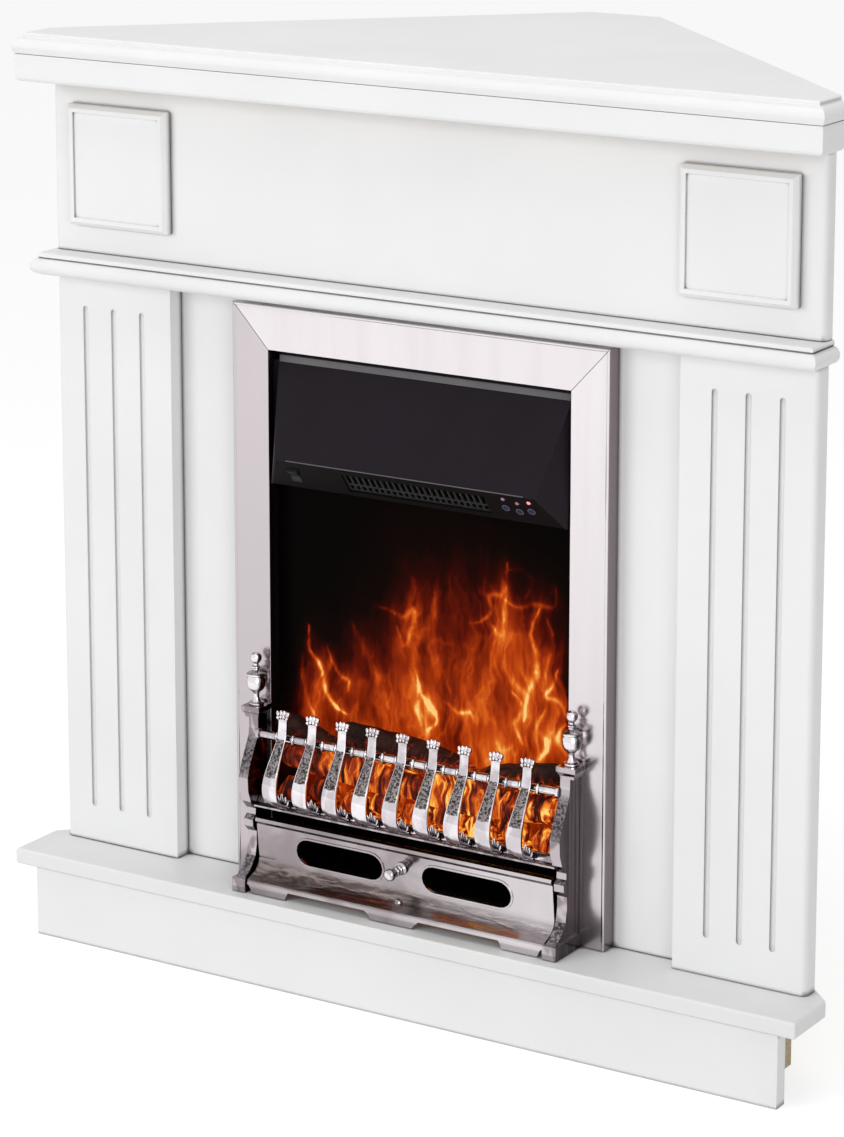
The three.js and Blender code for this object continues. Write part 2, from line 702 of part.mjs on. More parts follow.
function rearCover() {
  const y = CASE_DEPTH + GAP;
  const h = COVER_H / 2;
  const plate = box([-COVER_W / 2, COVER_W / 2], [y, y + COVER_T], [COVER_Z - h, COVER_Z + h]);
  const cuts = [rod('y', GLAND_R + GAP, 10, [GLAND_X, y, COVER_Z - GLAND_DROP])];
  for (let i = 0; i < LOUVRE_COUNT; i += 1) {
    const z = COVER_Z + (i - (LOUVRE_COUNT - 1) / 2) * LOUVRE_PITCH;
    const across = [LOUVRE_X - LOUVRE_W / 2, LOUVRE_X + LOUVRE_W / 2];
    cuts.push(box(across, [y - COVER_T, y + 2 * COVER_T], [z - LOUVRE_H / 2, z + LOUVRE_H / 2]));
  }
  return cut(plate, cuts);
}

/** The strain relief where the supply cord enters, with its bore left open. */
function cordGland() {
  const face = CASE_DEPTH + GAP + COVER_T + GAP;
  const z = COVER_Z - GLAND_DROP;
  const flange = rod('y', GLAND_R + GLAND_FLANGE, GLAND_FLANGE, [GLAND_X, face + GLAND_FLANGE / 2, z], 6);
  const body = rod('y', GLAND_R, GLAND_LENGTH, [GLAND_X, face + GLAND_LENGTH / 2 - 2 * COVER_T, z]);
  const bore = rod('y', CORD_BORE_R, GLAND_LENGTH * 3, [GLAND_X, face, z]);
  return cut(join([flange, body]), [bore]);
}

piece(fire, 'fire_casing', fireCasing(), blackSteel);
piece(fire, 'rear_cover', rearCover(), blackSteel);
piece(fire, 'cord_gland', cordGland(), blackPlastic);

// ---------------------------------------------------------------- hood and controls

// The outlet panel hangs from the hood's lip and slopes back under it. In its own frame X runs
// to the right, Y up the slope from the foot of the hood, and Z out of the face.
const outlet = new THREE.Group();
outlet.position.set(0, HOOD_FOOT_Y, HOOD_FOOT_Z);
outlet.rotation.x = Math.atan2(PANEL_FALL, PANEL_RUN);
outlet.updateMatrix();
fire.add(outlet);

function hoodCorners() {
  const corner = (half, y, z) => [new THREE.Vector3(-half, y, z), new THREE.Vector3(half, y, z)];
  return [
    ...corner(HOOD_TOP_HALF, HOOD_TOP_Y, HOOD_TOP_Z),
    ...corner(HOOD_LIP_HALF, HOOD_LIP_Y, HOOD_LIP_Z),
    ...corner(HOOD_FOOT_HALF, HOOD_FOOT_Y, HOOD_FOOT_Z),
    ...corner(HOOD_FOOT_HALF, HOOD_BACK_Y, HOOD_TOP_Z),
    ...corner(HOOD_FOOT_HALF, HOOD_BACK_Y, HOOD_FOOT_Z),
  ];
}

/** The outlet panel's outline in its own frame, grown by a margin. */
function panelOutline(margin) {
  const low = HOOD_FOOT_HALF - PANEL_EDGE + margin;
  const high = HOOD_LIP_HALF - PANEL_EDGE + margin;
  const foot = 1 - margin;
  const head = PANEL_LENGTH - PANEL_EDGE / 2 + margin;
  return outline([[-low, foot], [low, foot], [high, head], [-high, head]]);
}

/** The hood: a thin shell, open at the back and where the outlet panel sits, with two ears. */
function hood() {
  const shell = new ConvexGeometry(hoodCorners());
  const narrower = 1 - HOOD_SHELL / HOOD_FOOT_HALF;
  const hollow = hoodCorners().map((p) => new THREE.Vector3(p.x * narrower, p.y + 1, p.z - HOOD_SHELL));
  const seat = pulled(panelOutline(GAP), 8 * PANEL_T).translate(0, 0, -4 * PANEL_T).applyMatrix4(outlet.matrix);
  const ears = [-1, 1].map((side) => {
    const reach = span(side, HOOD_FOOT_HALF - HOOD_SHELL / 2, CASE_INNER - GAP);
    return box(reach, [HOOD_BACK_Y - HOOD_EAR, HOOD_BACK_Y], [HOOD_FOOT_Z + 2 * HOOD_EAR, HOOD_TOP_Z - HOOD_EAR]);
  });
  return join([cut(shell, [new ConvexGeometry(hollow), seat]), ...ears]);
}

function outletPanel() {
  const shape = panelOutline(0);
  const windowW = GRILLE_W / 2 - GRILLE_RIM;
  const windowH = GRILLE_H / 2 - GRILLE_RIM;
  shape.holes.push(rectangle(
    [GRILLE_X - windowW, GRILLE_X + windowW], [PANEL_MIDDLE - windowH, PANEL_MIDDLE + windowH]));
  const switchW = ROCKER_W / 2 + RUN;
  const switchH = ROCKER_H / 2 + RUN + ROCKER_SWING;
  shape.holes.push(rectangle(
    [ROCKER_X - switchW, ROCKER_X + switchW], [PANEL_MIDDLE - switchH, PANEL_MIDDLE + switchH]));
  CONTROLS.forEach(({ x, button, lens }) => {
    shape.holes.push(disc([x, PANEL_LENGTH - button], BUTTON_R + RUN, 16));
    shape.holes.push(disc([x, PANEL_LENGTH - lens], LENS_R + GAP, 12));
  });
  return pulled(shape, PANEL_T).translate(0, 0, -PANEL_T);
}

/** The slatted outlet: upright slots, each parted by one cross rail. */
function outletGrille() {
  const left = GRILLE_X - GRILLE_W / 2;
  const low = PANEL_MIDDLE - GRILLE_H / 2;
  const front = -PANEL_T - GAP;
  const plate = box([left, left + GRILLE_W], [low, low + GRILLE_H], [front - GRILLE_T, front]);
  const margin = GRILLE_RIM + SLAT_W;
  const pitch = (GRILLE_W - 2 * GRILLE_RIM - SLAT_W) / SLOT_COUNT;
  const railAt = low + margin + (GRILLE_H - 2 * margin) * SLAT_RAIL_AT;
  const rows = [[low + margin, railAt - SLAT_RAIL / 2], [railAt + SLAT_RAIL / 2, low + GRILLE_H - margin]];
  const slots = [];
  for (let i = 0; i < SLOT_COUNT; i += 1) {
    const x = left + margin + i * pitch;
    rows.forEach((row) => slots.push(box([x, x + pitch - SLAT_W], row, [front - 2 * GRILLE_T, front + GRILLE_T])));
  }
  return cut(plate, slots);
}

/** The power switch, pressed in at one end, with its two halves leaning towards the middle. */
function powerRocker() {
  const h = ROCKER_H / 2;
  const section = outline([
    [-h, ROCKER_PROUD], [-h, -ROCKER_DEPTH], [h, -ROCKER_DEPTH], [h, ROCKER_PROUD],
    [0, ROCKER_PROUD - ROCKER_BEND]]);
  const body = pullAlongX(section, [-ROCKER_W / 2, ROCKER_W / 2]);
  const tilt = THREE.MathUtils.degToRad(ROCKER_TILT);
  body.translate(0, 0, ROCKER_PIVOT).rotateX(tilt).translate(0, 0, -ROCKER_PIVOT);
  return body.translate(ROCKER_X, PANEL_MIDDLE, 0);
}

function pushButton({ x, button }) {
  const cap = turned([
    [0, -BUTTON_DEPTH], [BUTTON_R, -BUTTON_DEPTH], [BUTTON_R, BUTTON_PROUD - BUTTON_EASE],
    [BUTTON_R - BUTTON_EASE, BUTTON_PROUD], [0, BUTTON_PROUD]], 16);
  return cap.translate(x, PANEL_LENGTH - button, 0);
}

function indicatorLens({ x, lens }) {
  const dome = arc([0, 0], [LENS_R, LENS_DOME], 0, 90, 2);
  return turned([[0, -LENS_DEPTH], [LENS_R, -LENS_DEPTH], ...dome.slice(0, -1), [0, LENS_DOME]], 12)
    .translate(x, PANEL_LENGTH - lens, 0);
}

/** The board behind the buttons, on four posts that reach the back of the outlet panel. */
function controlBoard() {
  const x = [CONTROLS[0].x - BOARD_MARGIN, CONTROLS[2].x + BOARD_MARGIN - 1];
  const y = [PANEL_LENGTH - CONTROLS[1].button - BOARD_MARGIN, PANEL_LENGTH - BOARD_MARGIN + 2];
  const plate = box(x, y, [-BOARD_BACK - BOARD_T, -BOARD_BACK]);
  const reach = BOARD_BACK - PANEL_T - GAP + BOARD_T / 2;
  const posts = [];
  for (const px of [x[0] + 1.5 * POST_R, x[1] - 1.5 * POST_R]) {
    for (const py of [y[0] + 1.5 * POST_R, y[1] - 1.5 * POST_R]) {
      posts.push(rod('z', POST_R, reach, [px, py, -PANEL_T - GAP - reach / 2], 8));
    }
  }
  return join([plate, ...posts]);
}

piece(fire, 'hood', hood(), blackSteel);
piece(outlet, 'outlet_panel', outletPanel(), blackSteel);
piece(outlet, 'outlet_grille', outletGrille(), blackPlastic);
piece(outlet, 'power_rocker', powerRocker(), blackPlastic);
CONTROLS.forEach((control) => {
  piece(outlet, `button_${control.place}`, pushButton(control), blackPlastic);
  piece(outlet, `indicator_${control.place}`, indicatorLens(control), control.place === 'right' ? litLens : dullLens);
});
piece(outlet, 'control_board', controlBoard(), circuit);

// ---------------------------------------------------------------- screen, fuel bed, light

function flameScreen() {
  const half = CASE_INNER - GAP;
  return box([-half, half], [SCREEN_Y, SCREEN_Y + SCREEN_T], [SCREEN_LOW, HOOD_FOOT_Z - GAP]);
}

/** A rough log along Z: rings of uneven radius, drawn in at its ends. */
function fuelLog(length, radius, seed) {
  const steps = 5;
  const sides = 7;
  const ring = (t) => Array.from({ length: sides }, (_, i) => {
    const angle = (2 * Math.PI * i) / sides;
    const swell = Math.sin(Math.PI * (0.12 + 0.76 * t)) ** 0.35;
    const bump = 1 + 0.09 * Math.sin(seed + 3 * angle + 5 * t) + 0.07 * Math.sin(seed * 2 + 7 * t - angle);
    const r = radius * swell * bump;
    return [r * Math.cos(angle), r * Math.sin(angle), (t - 0.5) * length];
  });
  return loft(Array.from({ length: steps + 1 }, (_, k) => ring(k / steps)));
}

/** A lump of coal: a coarse ball pushed in and out. */
function fuelCoal(seed) {
  const ball = new THREE.IcosahedronGeometry(COAL_R, 1).deleteAttribute('normal').deleteAttribute('uv');
  const lump = mergeVertices(ball);
  const position = lump.attributes.position;
  for (let i = 0; i < position.count; i += 1) {
    const swell = 1 + 0.13 * Math.sin(seed * 7 + i * 2.4);
    position.setXYZ(i, position.getX(i) * swell, position.getY(i) * swell * 0.8, position.getZ(i) * swell * 0.85);
  }
  return lump;
}

/** The moulded fuel bed: a tray, a row of coals and five logs above them. */
function fuelBed() {
  const top = BED_LOW + BED_T;
  const half = CASE_INNER - GAP;
  const frontHalf = TRIM_IN - RUN;
  const parts = [
    box([-half, half], [TRIM_LIP - TRIM_PROUD + 1, SCREEN_Y - GAP], [BED_LOW, top]),
    box([-frontHalf, frontHalf], [BED_FRONT, -TRIM_LIP], [BED_LOW, top]),
  ];
  for (let i = 0; i < COAL_COUNT; i += 1) {
    const x = (i - (COAL_COUNT - 1) / 2) * COAL_PITCH;
    parts.push(fuelCoal(i + 1).translate(x, BED_FRONT / 2, top + 8 + (i % 2) * 7));
  }
  const lay = (length, radius, seed, tilt, [x, y, z]) =>
    parts.push(fuelLog(length, radius, seed).rotateY(Math.PI / 2 + tilt).translate(x, y, top + z));
  lay(200, 20, 1, 0.05, [-78, -9, 44]);
  lay(200, 21, 2.3, -0.04, [88, -8, 40]);
  lay(170, 19, 3.1, 0.16, [-10, -10, 74]);
  lay(120, 15, 4.4, -0.25, [124, -12, 74]);
  lay(110, 14, 5.2, 0.3, [-132, -12, 72]);
  const behind = box([-FAR, FAR], [SCREEN_Y - GAP, FAR], [-FAR, FAR]);
  const ahead = box([-FAR, FAR], [-FAR, BED_FRONT], [-FAR, FAR]);
  return cut(join(parts), [behind, ahead]);
}

function lightBoard() {
  const floor = GAP + CASE_WALL + GAP;
  const limits = (centre, width) => [centre - width / 2, centre + width / 2];
  const strip = box(limits(0, LIGHT_LENGTH), limits(LIGHT_Y, LIGHT_W), [floor, floor + BOARD_T]);
  const lamps = [];
  for (let i = 0; i < LIGHT_COUNT; i += 1) {
    const x = (i - (LIGHT_COUNT - 1) / 2) * (LIGHT_LENGTH / LIGHT_COUNT);
    const top = floor + BOARD_T;
    lamps.push(box(limits(x, LIGHT_SIZE), limits(LIGHT_Y, LIGHT_SIZE), [top - BOARD_T / 2, top + 2]));
  }
  return join([strip, ...lamps]);
}

/** The spindle behind the screen: a rod with bright vanes set round it in a spiral. */
function flameSpindle() {
  const at = [0, SPINDLE_Y, SPINDLE_Z];
  const parts = [rod('x', SPINDLE_R, SPINDLE_HALF * 2, at, 10)];
  const pitch = (2 * SPINDLE_HALF - 2 * VANE_W) / VANE_COUNT;
  for (let i = 0; i < VANE_COUNT; i += 1) {
    const x = (i - (VANE_COUNT - 1) / 2) * pitch;
    const vane = box([x - VANE_W / 2, x + VANE_W / 2], [-VANE_T / 2, VANE_T / 2], [-VANE_REACH, VANE_REACH]);
    parts.push(vane.rotateX(THREE.MathUtils.degToRad(i * VANE_STEP)).translate(...at));
  }
  return join(parts);
}

/** What holds one end of the spindle: a collar with a blind bore, on a body at the casing wall. */
function spindleEnd(side, bodies) {
  const wall = CASE_INNER - GAP;
  const inner = SPINDLE_HALF - BEARING_R;
  const length = wall - inner;
  const collar = rod('x', BEARING_R, length, [side * (wall - length / 2), SPINDLE_Y, SPINDLE_Z]);
  const boreLength = 2 * BEARING_R;
  const boreAt = [side * (SPINDLE_HALF + 1 - boreLength / 2), SPINDLE_Y, SPINDLE_Z];
  return cut(join([collar, ...bodies]), [rod('x', SPINDLE_R + RUN, boreLength, boreAt)]);
}

function spindleMotor() {
  const at = [CASE_INNER - GAP - MOTOR_LENGTH / 2, SPINDLE_Y, SPINDLE_Z];
  return spindleEnd(1, [rod('x', MOTOR_R, MOTOR_LENGTH, at, 20)]);
}

function spindleBearing() {
  const wall = GAP - CASE_INNER;
  const [w, h] = BEARING_PLATE.map((size) => size / 2);
  const plate = box([wall, wall + 3], [SPINDLE_Y - w, SPINDLE_Y + w], [SPINDLE_Z - h, SPINDLE_Z + h]);
  return spindleEnd(-1, [plate]);
}

piece(fire, 'flame_screen', flameScreen(), smokedGlass);
piece(fire, 'fuel_bed', fuelBed(), embers);
piece(fire, 'light_board', lightBoard(), circuit);
piece(fire, 'flame_spindle', flameSpindle(), steel);
piece(fire, 'spindle_motor', spindleMotor(), greyPlastic);
piece(fire, 'spindle_bearing', spindleBearing(), greyPlastic);

// ---------------------------------------------------------------- fan heater

const SCROLL_HALF = FAN_HALF + SCROLL_GAP;
const SCROLL_IN = FAN_R + SCROLL_GAP;
const SCROLL_OUT = SCROLL_IN + SCROLL_T;

/** The long drum of the fan: three discs on a shaft, with blades round the rim. */
function blowerRotor() {
  const at = [0, FAN_Y, FAN_Z];
  const motorEnd = SCROLL_HALF + FAN_MOTOR_LENGTH / 3;
  const shaft = rod('x', SHAFT_R, SCROLL_HALF + motorEnd, [(motorEnd - SCROLL_HALF) / 2, FAN_Y, FAN_Z], 10);
  const parts = [shaft];
  for (const x of [-FAN_HALF, 0, FAN_HALF]) {
    parts.push(rod('x', FAN_R, DISC_T, [x, FAN_Y, FAN_Z], FAN_BLADES));
  }
  for (let i = 0; i < FAN_BLADES; i += 1) {
    const blade = box([-FAN_HALF, FAN_HALF], [-BLADE_T / 2, BLADE_T / 2], [FAN_HUB, FAN_R - BLADE_T]);
    parts.push(blade.rotateX((2 * Math.PI * i) / FAN_BLADES).translate(...at));
  }
  return join(parts);
}

/** The scroll round the drum, open towards the outlet, with end plates and two roof brackets. */
function blowerHousing() {
  const steps = 12;
  const band = outline([
    ...arc([FAN_Y, FAN_Z], [SCROLL_OUT, SCROLL_OUT], SCROLL_FROM, SCROLL_TO, steps),
    ...arc([FAN_Y, FAN_Z], [SCROLL_IN, SCROLL_IN], SCROLL_TO, SCROLL_FROM, steps),
  ]);
  const scroll = pullAlongX(band, [-SCROLL_HALF, SCROLL_HALF]);
  const plates = [-1, 1].map((side) => {
    const at = [side * (SCROLL_HALF - SCROLL_T / 2), FAN_Y, FAN_Z];
    return cut(rod('x', SCROLL_OUT, SCROLL_T, at, 24), [rod('x', SHAFT_R + RUN, 4 * SCROLL_T, at, 12)]);
  });
  const brackets = [-1, 1].map((side) => {
    const x = side * SCROLL_HALF * 0.6;
    return box([x - FAN_BRACKET, x + FAN_BRACKET], [FAN_Y - 8, FAN_Y + 8], [FAN_Z + SCROLL_IN + 0.5, CASE_ROOF]);
  });
  return join([scroll, ...plates, ...brackets]);
}

function blowerMotor() {
  const near = SCROLL_HALF + GAP;
  const body = rod('x', FAN_MOTOR_R, FAN_MOTOR_LENGTH, [near + FAN_MOTOR_LENGTH / 2, FAN_Y, FAN_Z], 20);
  return cut(body, [rod('x', SHAFT_R + RUN, FAN_MOTOR_LENGTH * 0.7, [near, FAN_Y, FAN_Z], 12)]);
}

/** The heating element: a frame of round bars between two end blocks, hung from the casing roof. */
function heaterElement() {
  const y = FAN_Y - SCROLL_IN - 12;
  const z = FAN_Z - 16;
  const reach = (HEATER_BARS * HEATER_PITCH) / 2 + 2;
  const outer = HEATER_HALF + HEATER_BLOCK;
  const parts = [box([-outer, outer], [y - 6, y + 6], [z + reach - 2, z + reach])];
  for (const side of [-1, 1]) {
    parts.push(box(span(side, HEATER_HALF, outer), [y - 7, y + 7], [z - reach, z + reach]));
    parts.push(box(span(side, HEATER_HALF, outer), [y - 2, y + 2], [z + reach - 4, CASE_ROOF]));
  }
  for (let i = 0; i < HEATER_BARS; i += 1) {
    const dz = (i - (HEATER_BARS - 1) / 2) * HEATER_PITCH;
    parts.push(rod('x', 1.2, HEATER_HALF * 2 + 4, [0, y + (i % 2 ? 3 : -3), z + dz], 6));
  }
  return join(parts);
}

piece(fire, 'blower_rotor', blowerRotor(), steel);
piece(fire, 'blower_housing', blowerHousing(), steel);
piece(fire, 'blower_motor', blowerMotor(), blackPlastic);
piece(fire, 'heater_element', heaterElement(), steel);

// ---------------------------------------------------------------- fret

/** The front line of a cheek from its foot to its block, as [y, z]. */
const CHEEK_LINE = [
  [-60, 22], [-49, 36], [-46, 50], [-46, 64], [-53, 71], [-53.5, 79], [-48, 84], [-47.5, 91],
  [-57, 101], [-62, 114], [-63, 130], [-58, 145], [-50, 160], [-43, 174], [NECK_Y, 186],
];

function cheek(side) {
  const instep = FOOT_STEP + 1.5 - FOOT_FRONT;
  const plate = pullAlongX(outline([
    [FRET_BACK, BLOCK_LOW + 1], [FRET_BACK, FOOT_H - 1], [instep, FOOT_H - 1], [instep, FOOT_H],
    ...CHEEK_LINE, [NECK_Y, BLOCK_LOW + 1]]), span(side, CHEEK_IN, CHEEK_OUT));
  const foot = box(span(side, CHEEK_IN - FOOT_STEP, CHEEK_OUT + FOOT_STEP), [-FOOT_FRONT, FRET_BACK], [GAP, FOOT_H]);
  const [x0, x1] = span(side, CHEEK_IN - BLOCK_STEP_IN, CHEEK_OUT + BLOCK_STEP_OUT);
  const level = (inset, z) => [
    [x0 + inset, inset - BLOCK_FRONT, z], [x1 - inset, inset - BLOCK_FRONT, z],
    [x1 - inset, FRET_BACK, z], [x0 + inset, FRET_BACK, z]];
  const cove = [[3.6, 0], [2.4, 4], [0.4, 7], [0, 8], [0, BLOCK_TOP - BLOCK_LOW]];
  return join([plate, foot, loft(cove.map(([inset, rise]) => level(inset, BLOCK_LOW + rise)))]);
}

/** The turned urn that stands on a cheek. */
function finial(side) {
  const h = FINIAL_H;
  const profile = [
    [0, 0], [8.5, 0], [8.5, 2.5], [4.5, 5], [3.2, 9], [3.2, 13], [5, 15], [9, 19], [10.8, 25], [10.8, 31],
    [9.2, 33], [10.8, 34.5], [10.8, 36], [6, 38.5], [3.4, 41], [4.6, 43], [2.6, 45], [2.6, h - 12.4],
    [5.4, h - 10], [6.4, h - 6.4], [4.6, h - 1.8], [0, h],
  ];
  const x = (CHEEK_IN - BLOCK_STEP_IN + CHEEK_OUT + BLOCK_STEP_OUT) / 2;
  return turned(profile, 12).translate(side * x, FINIAL_Y, BLOCK_TOP + GAP);
}

/** The middle of each bar from the left. */
const barX = (i) => (i - (BAR_COUNT - 1) / 2) * BAR_PITCH;

/** The top rail with a bead on each side of every bar. */
function topRail() {
  const end = CHEEK_IN - GAP;
  const profile = [[0, -end], [COLLAR_R, -end], [COLLAR_R, -end + 3], [GRATE_R, -end + 4.5]];
  for (let i = 0; i < BAR_COUNT; i += 1) {
    for (const side of [-1, 1]) {
      const x = barX(i) + side * (BAR_W / 2 + COLLAR_OFF);
      profile.push([GRATE_R, x - COLLAR_HALF], [COLLAR_R, x], [GRATE_R, x + COLLAR_HALF]);
    }
  }
  profile.push([GRATE_R, end - 4.5], [COLLAR_R, end - 3], [COLLAR_R, end], [0, end]);
  return turned(profile, 8).rotateY(Math.PI / 2).translate(0, GRATE_Y, GRATE_Z);
}

/** The front line of a bar from its foot to its claw, as [y, z]. */
const BAR_FOOT = LOWER_RAIL_LOW + LEDGE_H + GAP;
const BAR_LINE = [
  [-49.5, BAR_FOOT], [-51, BAR_FOOT + 3.2], [-58, 104.5], [-68, 109], [-74, 117], [-75.5, 127],
  [-73, 139], [-66, 152], [-57.5, 166], [-51, 177], [-47.6, 188], [-46.4, 201],
];

/** Half the width of a bar at a height: narrow at the rail, full at the belly. */
const barHalfWidth = (z) =>
  (BAR_W / 2) * (BAR_NECK + (1 - BAR_NECK) * Math.exp(-(((z - BELLY_Z) / BELLY_SPREAD) ** 2)));

/** A bowed bar: a strap that follows its front line, swells at the belly and ends in a claw. */
function fretBar(x) {
  const curve = new THREE.SplineCurve(BAR_LINE.map(([y, z]) => new THREE.Vector2(y, z)));
  const steps = 10;
  const front = [];
  const back = [];
  for (let i = 0; i <= steps; i += 1) {
    const point = curve.getPoint(i / steps);
    const along = curve.getTangent(i / steps);
    front.push([point.x, point.y]);
    back.unshift([point.x + along.y * BAR_T, point.y - along.x * BAR_T]);
  }
  const strap = pullAlongX(outline([...front, ...back]), [-1, 1]);
  const position = strap.attributes.position;
  for (let i = 0; i < position.count; i += 1) {
    position.setX(i, position.getX(i) * barHalfWidth(position.getZ(i)));
  }
  const lobes = [-1, 0, 1].map((k) => {
    const lobe = new THREE.SphereGeometry(CLAW_R, 6, 4).scale(0.85, 0.9, 1.6);
    return lobe.rotateY(k * 0.35).translate(k * CLAW_R, CLAW_Y, CLAW_Z - Math.abs(k) * 1.5);
  });
  return join([strap, ...lobes]).translate(x, 0, 0);
}

/** The lower rail: a ledge that the feet of the bars stand on, with an upstand behind them. */
function lowerRail() {
  const low = LOWER_RAIL_LOW;
  const ledge = low + LEDGE_H;
  const high = low + LOWER_RAIL_H;
  const upstand = BAR_LINE[0][0] + BAR_T + GAP;
  const section = outline([
    [-38, low], [-50, low], [-52, low + 1], [-52, ledge - 1], [-50.5, ledge], [upstand, ledge],
    [-42.5, high - 2], [-41, high], [-38, high]]);
  return pullAlongX(section, [GAP - CHEEK_IN, CHEEK_IN - GAP]);
}

pair(fire, 'cheek', cheek, chrome);
pair(fire, 'finial', finial, chrome);
piece(fire, 'top_rail', topRail(), chrome);
for (let i = 0; i < BAR_COUNT; i += 1) {
  piece(fire, `fret_bar_${i + 1}`, fretBar(barX(i)), chrome);
}
piece(fire, 'lower_rail', lowerRail(), chrome);

// ---------------------------------------------------------------- ashpan cover

/** The flat face of the cover leans forward from its low edge to its high edge, as [y, z]. */
const FACE_LOW = [-46, 34];
const FACE_HIGH = [-50.5, COVER_TOP_Z - 9];
const FACE_LEAN = Math.atan2(FACE_LOW[0] - FACE_HIGH[0], FACE_HIGH[1] - FACE_LOW[1]);
const faceY = (z) => FACE_LOW[0] - (z - FACE_LOW[1]) * Math.tan(FACE_LEAN);

/** A foot of the skirt: an ogee-sided tab that reaches the hearth. */
function skirtFoot(x, halfTop, halfLow) {
  const swell = halfLow + (halfTop - halfLow) * 0.35;
  const middle = (GAP + SKIRT_Z) / 2;
  const right = [[x + halfLow, GAP], [x + swell, middle], [x + halfTop, SKIRT_Z + 1]];
  const left = [[x - halfTop, SKIRT_Z + 1], [x - swell, middle], [x - halfLow, GAP]];
  return pullAlongY(outline([...right, ...left]), [SKIRT_Y, SKIRT_Y + ASH_T]);
}

/** The ashpan cover: a pressed sheet with two oblong vents and a skirt cut into feet. */
function ashpanCover() {
  const t = ASH_T;
  const front = [
    [-47, COVER_TOP_Z], [-53, COVER_TOP_Z - 1.5], [-54, COVER_TOP_Z - 5], FACE_HIGH, FACE_LOW,
    [-48, 28], [-55, 21], [-66, 16.5], [-70, 15], [SKIRT_Y, 13], [SKIRT_Y, SKIRT_Z],
  ];
  const back = [
    [SKIRT_Y + t, SKIRT_Z], [SKIRT_Y + t, 11.5], [-66, 13], [-54, 17.5], [-46, 25], [FACE_LOW[0] + t, 33],
    [FACE_HIGH[0] + t, COVER_TOP_Z - 10], [FACE_HIGH[0] + t, COVER_TOP_Z - t], [-47, COVER_TOP_Z - t],
  ];
  const half = CHEEK_IN - FOOT_STEP - COVER_SIDE_GAP;
  const sheet = pullAlongX(outline([...front, ...back]), [-half, half]);
  const onFace = (geometry, side) =>
    geometry.rotateX(FACE_LEAN).translate(side * VENT_X, faceY(VENT_Z), VENT_Z);
  const rim = () => oblong(VENT_W + 2 * VENT_RIM, VENT_H + 2 * VENT_RIM);
  const rims = [-1, 1].map((side) => onFace(pullAlongY(rim(), [-VENT_RIM_PROUD, 1]), side));
  const holes = [-1, 1].map((side) => onFace(pullAlongY(oblong(VENT_W, VENT_H), [-20, 20]), side));
  const feet = [skirtFoot(0, 36, 26), skirtFoot(-162, 27, 22), skirtFoot(162, 27, 22)];
  const boss = new THREE.SphereGeometry(5, 8, 6).scale(1, 0.8, 1).translate(0, -57, 21);
  return cut(join([sheet, ...rims, ...feet, boss]), holes);
}

/** The turned knob that pulls the cover forward, pointing into the room. */
function ashpanKnob() {
  const l = KNOB_LENGTH;
  const profile = [
    [0, 0], [KNOB_R, 0], [KNOB_R, 2], [4.5, 3.5], [5.6, 6], [5.6, 8], [4, 9.5], [5.4, 12], [5.4, 14],
    [3.6, 16], [4.4, 18], [6.4, l - 8], [7, l - 5.5], [6, l - 2.2], [3.4, l - 0.5], [0, l],
  ];
  return turned(profile, 12).rotateX(Math.PI / 2).translate(0, faceY(KNOB_Z + KNOB_R) - GAP, KNOB_Z);
}

piece(fire, 'ashpan_cover', ashpanCover(), chrome);
piece(fire, 'ashpan_knob', ashpanKnob(), chrome);

// ---------------------------------------------------------------- origin

surround.position.y = (SHELF_FRONT - BACK_Y) / 2;

export default fireplace;
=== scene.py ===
"""The looks of the corner fireplace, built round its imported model. Metres, +Z up, -Y towards the room."""

from __future__ import annotations

import json
import logging
import math
from contextlib import contextmanager
from dataclasses import dataclass
from enum import Enum
from typing import Any, Callable, Iterator, Sequence

import bpy
import numpy as np
from mathutils import Euler, Matrix, Vector


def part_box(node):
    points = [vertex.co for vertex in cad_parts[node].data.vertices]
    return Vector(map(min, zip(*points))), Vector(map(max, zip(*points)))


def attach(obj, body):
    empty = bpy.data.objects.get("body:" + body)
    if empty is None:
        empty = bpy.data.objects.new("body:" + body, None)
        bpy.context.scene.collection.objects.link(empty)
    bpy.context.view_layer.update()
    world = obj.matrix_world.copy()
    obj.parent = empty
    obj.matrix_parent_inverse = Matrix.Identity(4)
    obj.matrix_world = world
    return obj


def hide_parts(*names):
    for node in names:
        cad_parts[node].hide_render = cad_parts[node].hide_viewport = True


Point = tuple[float, float, float]
Colour = tuple[float, float, float]
Outline = Sequence[tuple[float, float]]
Piece = bpy.types.Object
Stops = tuple[tuple[float, Colour], ...]

log = logging.getLogger("fireplace")
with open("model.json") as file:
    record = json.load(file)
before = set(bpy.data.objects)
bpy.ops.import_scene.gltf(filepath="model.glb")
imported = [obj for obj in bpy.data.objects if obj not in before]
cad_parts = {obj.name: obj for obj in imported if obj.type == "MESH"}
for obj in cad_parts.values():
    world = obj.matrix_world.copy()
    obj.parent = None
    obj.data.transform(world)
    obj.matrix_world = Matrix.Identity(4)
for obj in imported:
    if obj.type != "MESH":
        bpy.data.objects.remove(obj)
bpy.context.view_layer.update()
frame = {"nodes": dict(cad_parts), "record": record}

HEARTH = 0.102
"""Height of the top of the hearth: the fire's own heights are measured from it."""
FACE = -0.1715
"""Where the front face of the infill panel lies: the fire's own depths are measured from it."""
UNIT = 0.001
"""How far across a primitive starts, in metres, so that it is resized by sizes in millimetres."""
WELD = 0.00001
"""Vertices nearer than this are merged, in metres."""
LATTICE = 64
"""Cells each way before the seeded noise of the flames repeats."""


class Side(Enum):
    """The left and the right of someone who faces the fire."""

    LEFT = -1
    RIGHT = 1

    @property
    def word(self) -> str:
        """The word that ends a piece's name."""
        return self.name.lower()


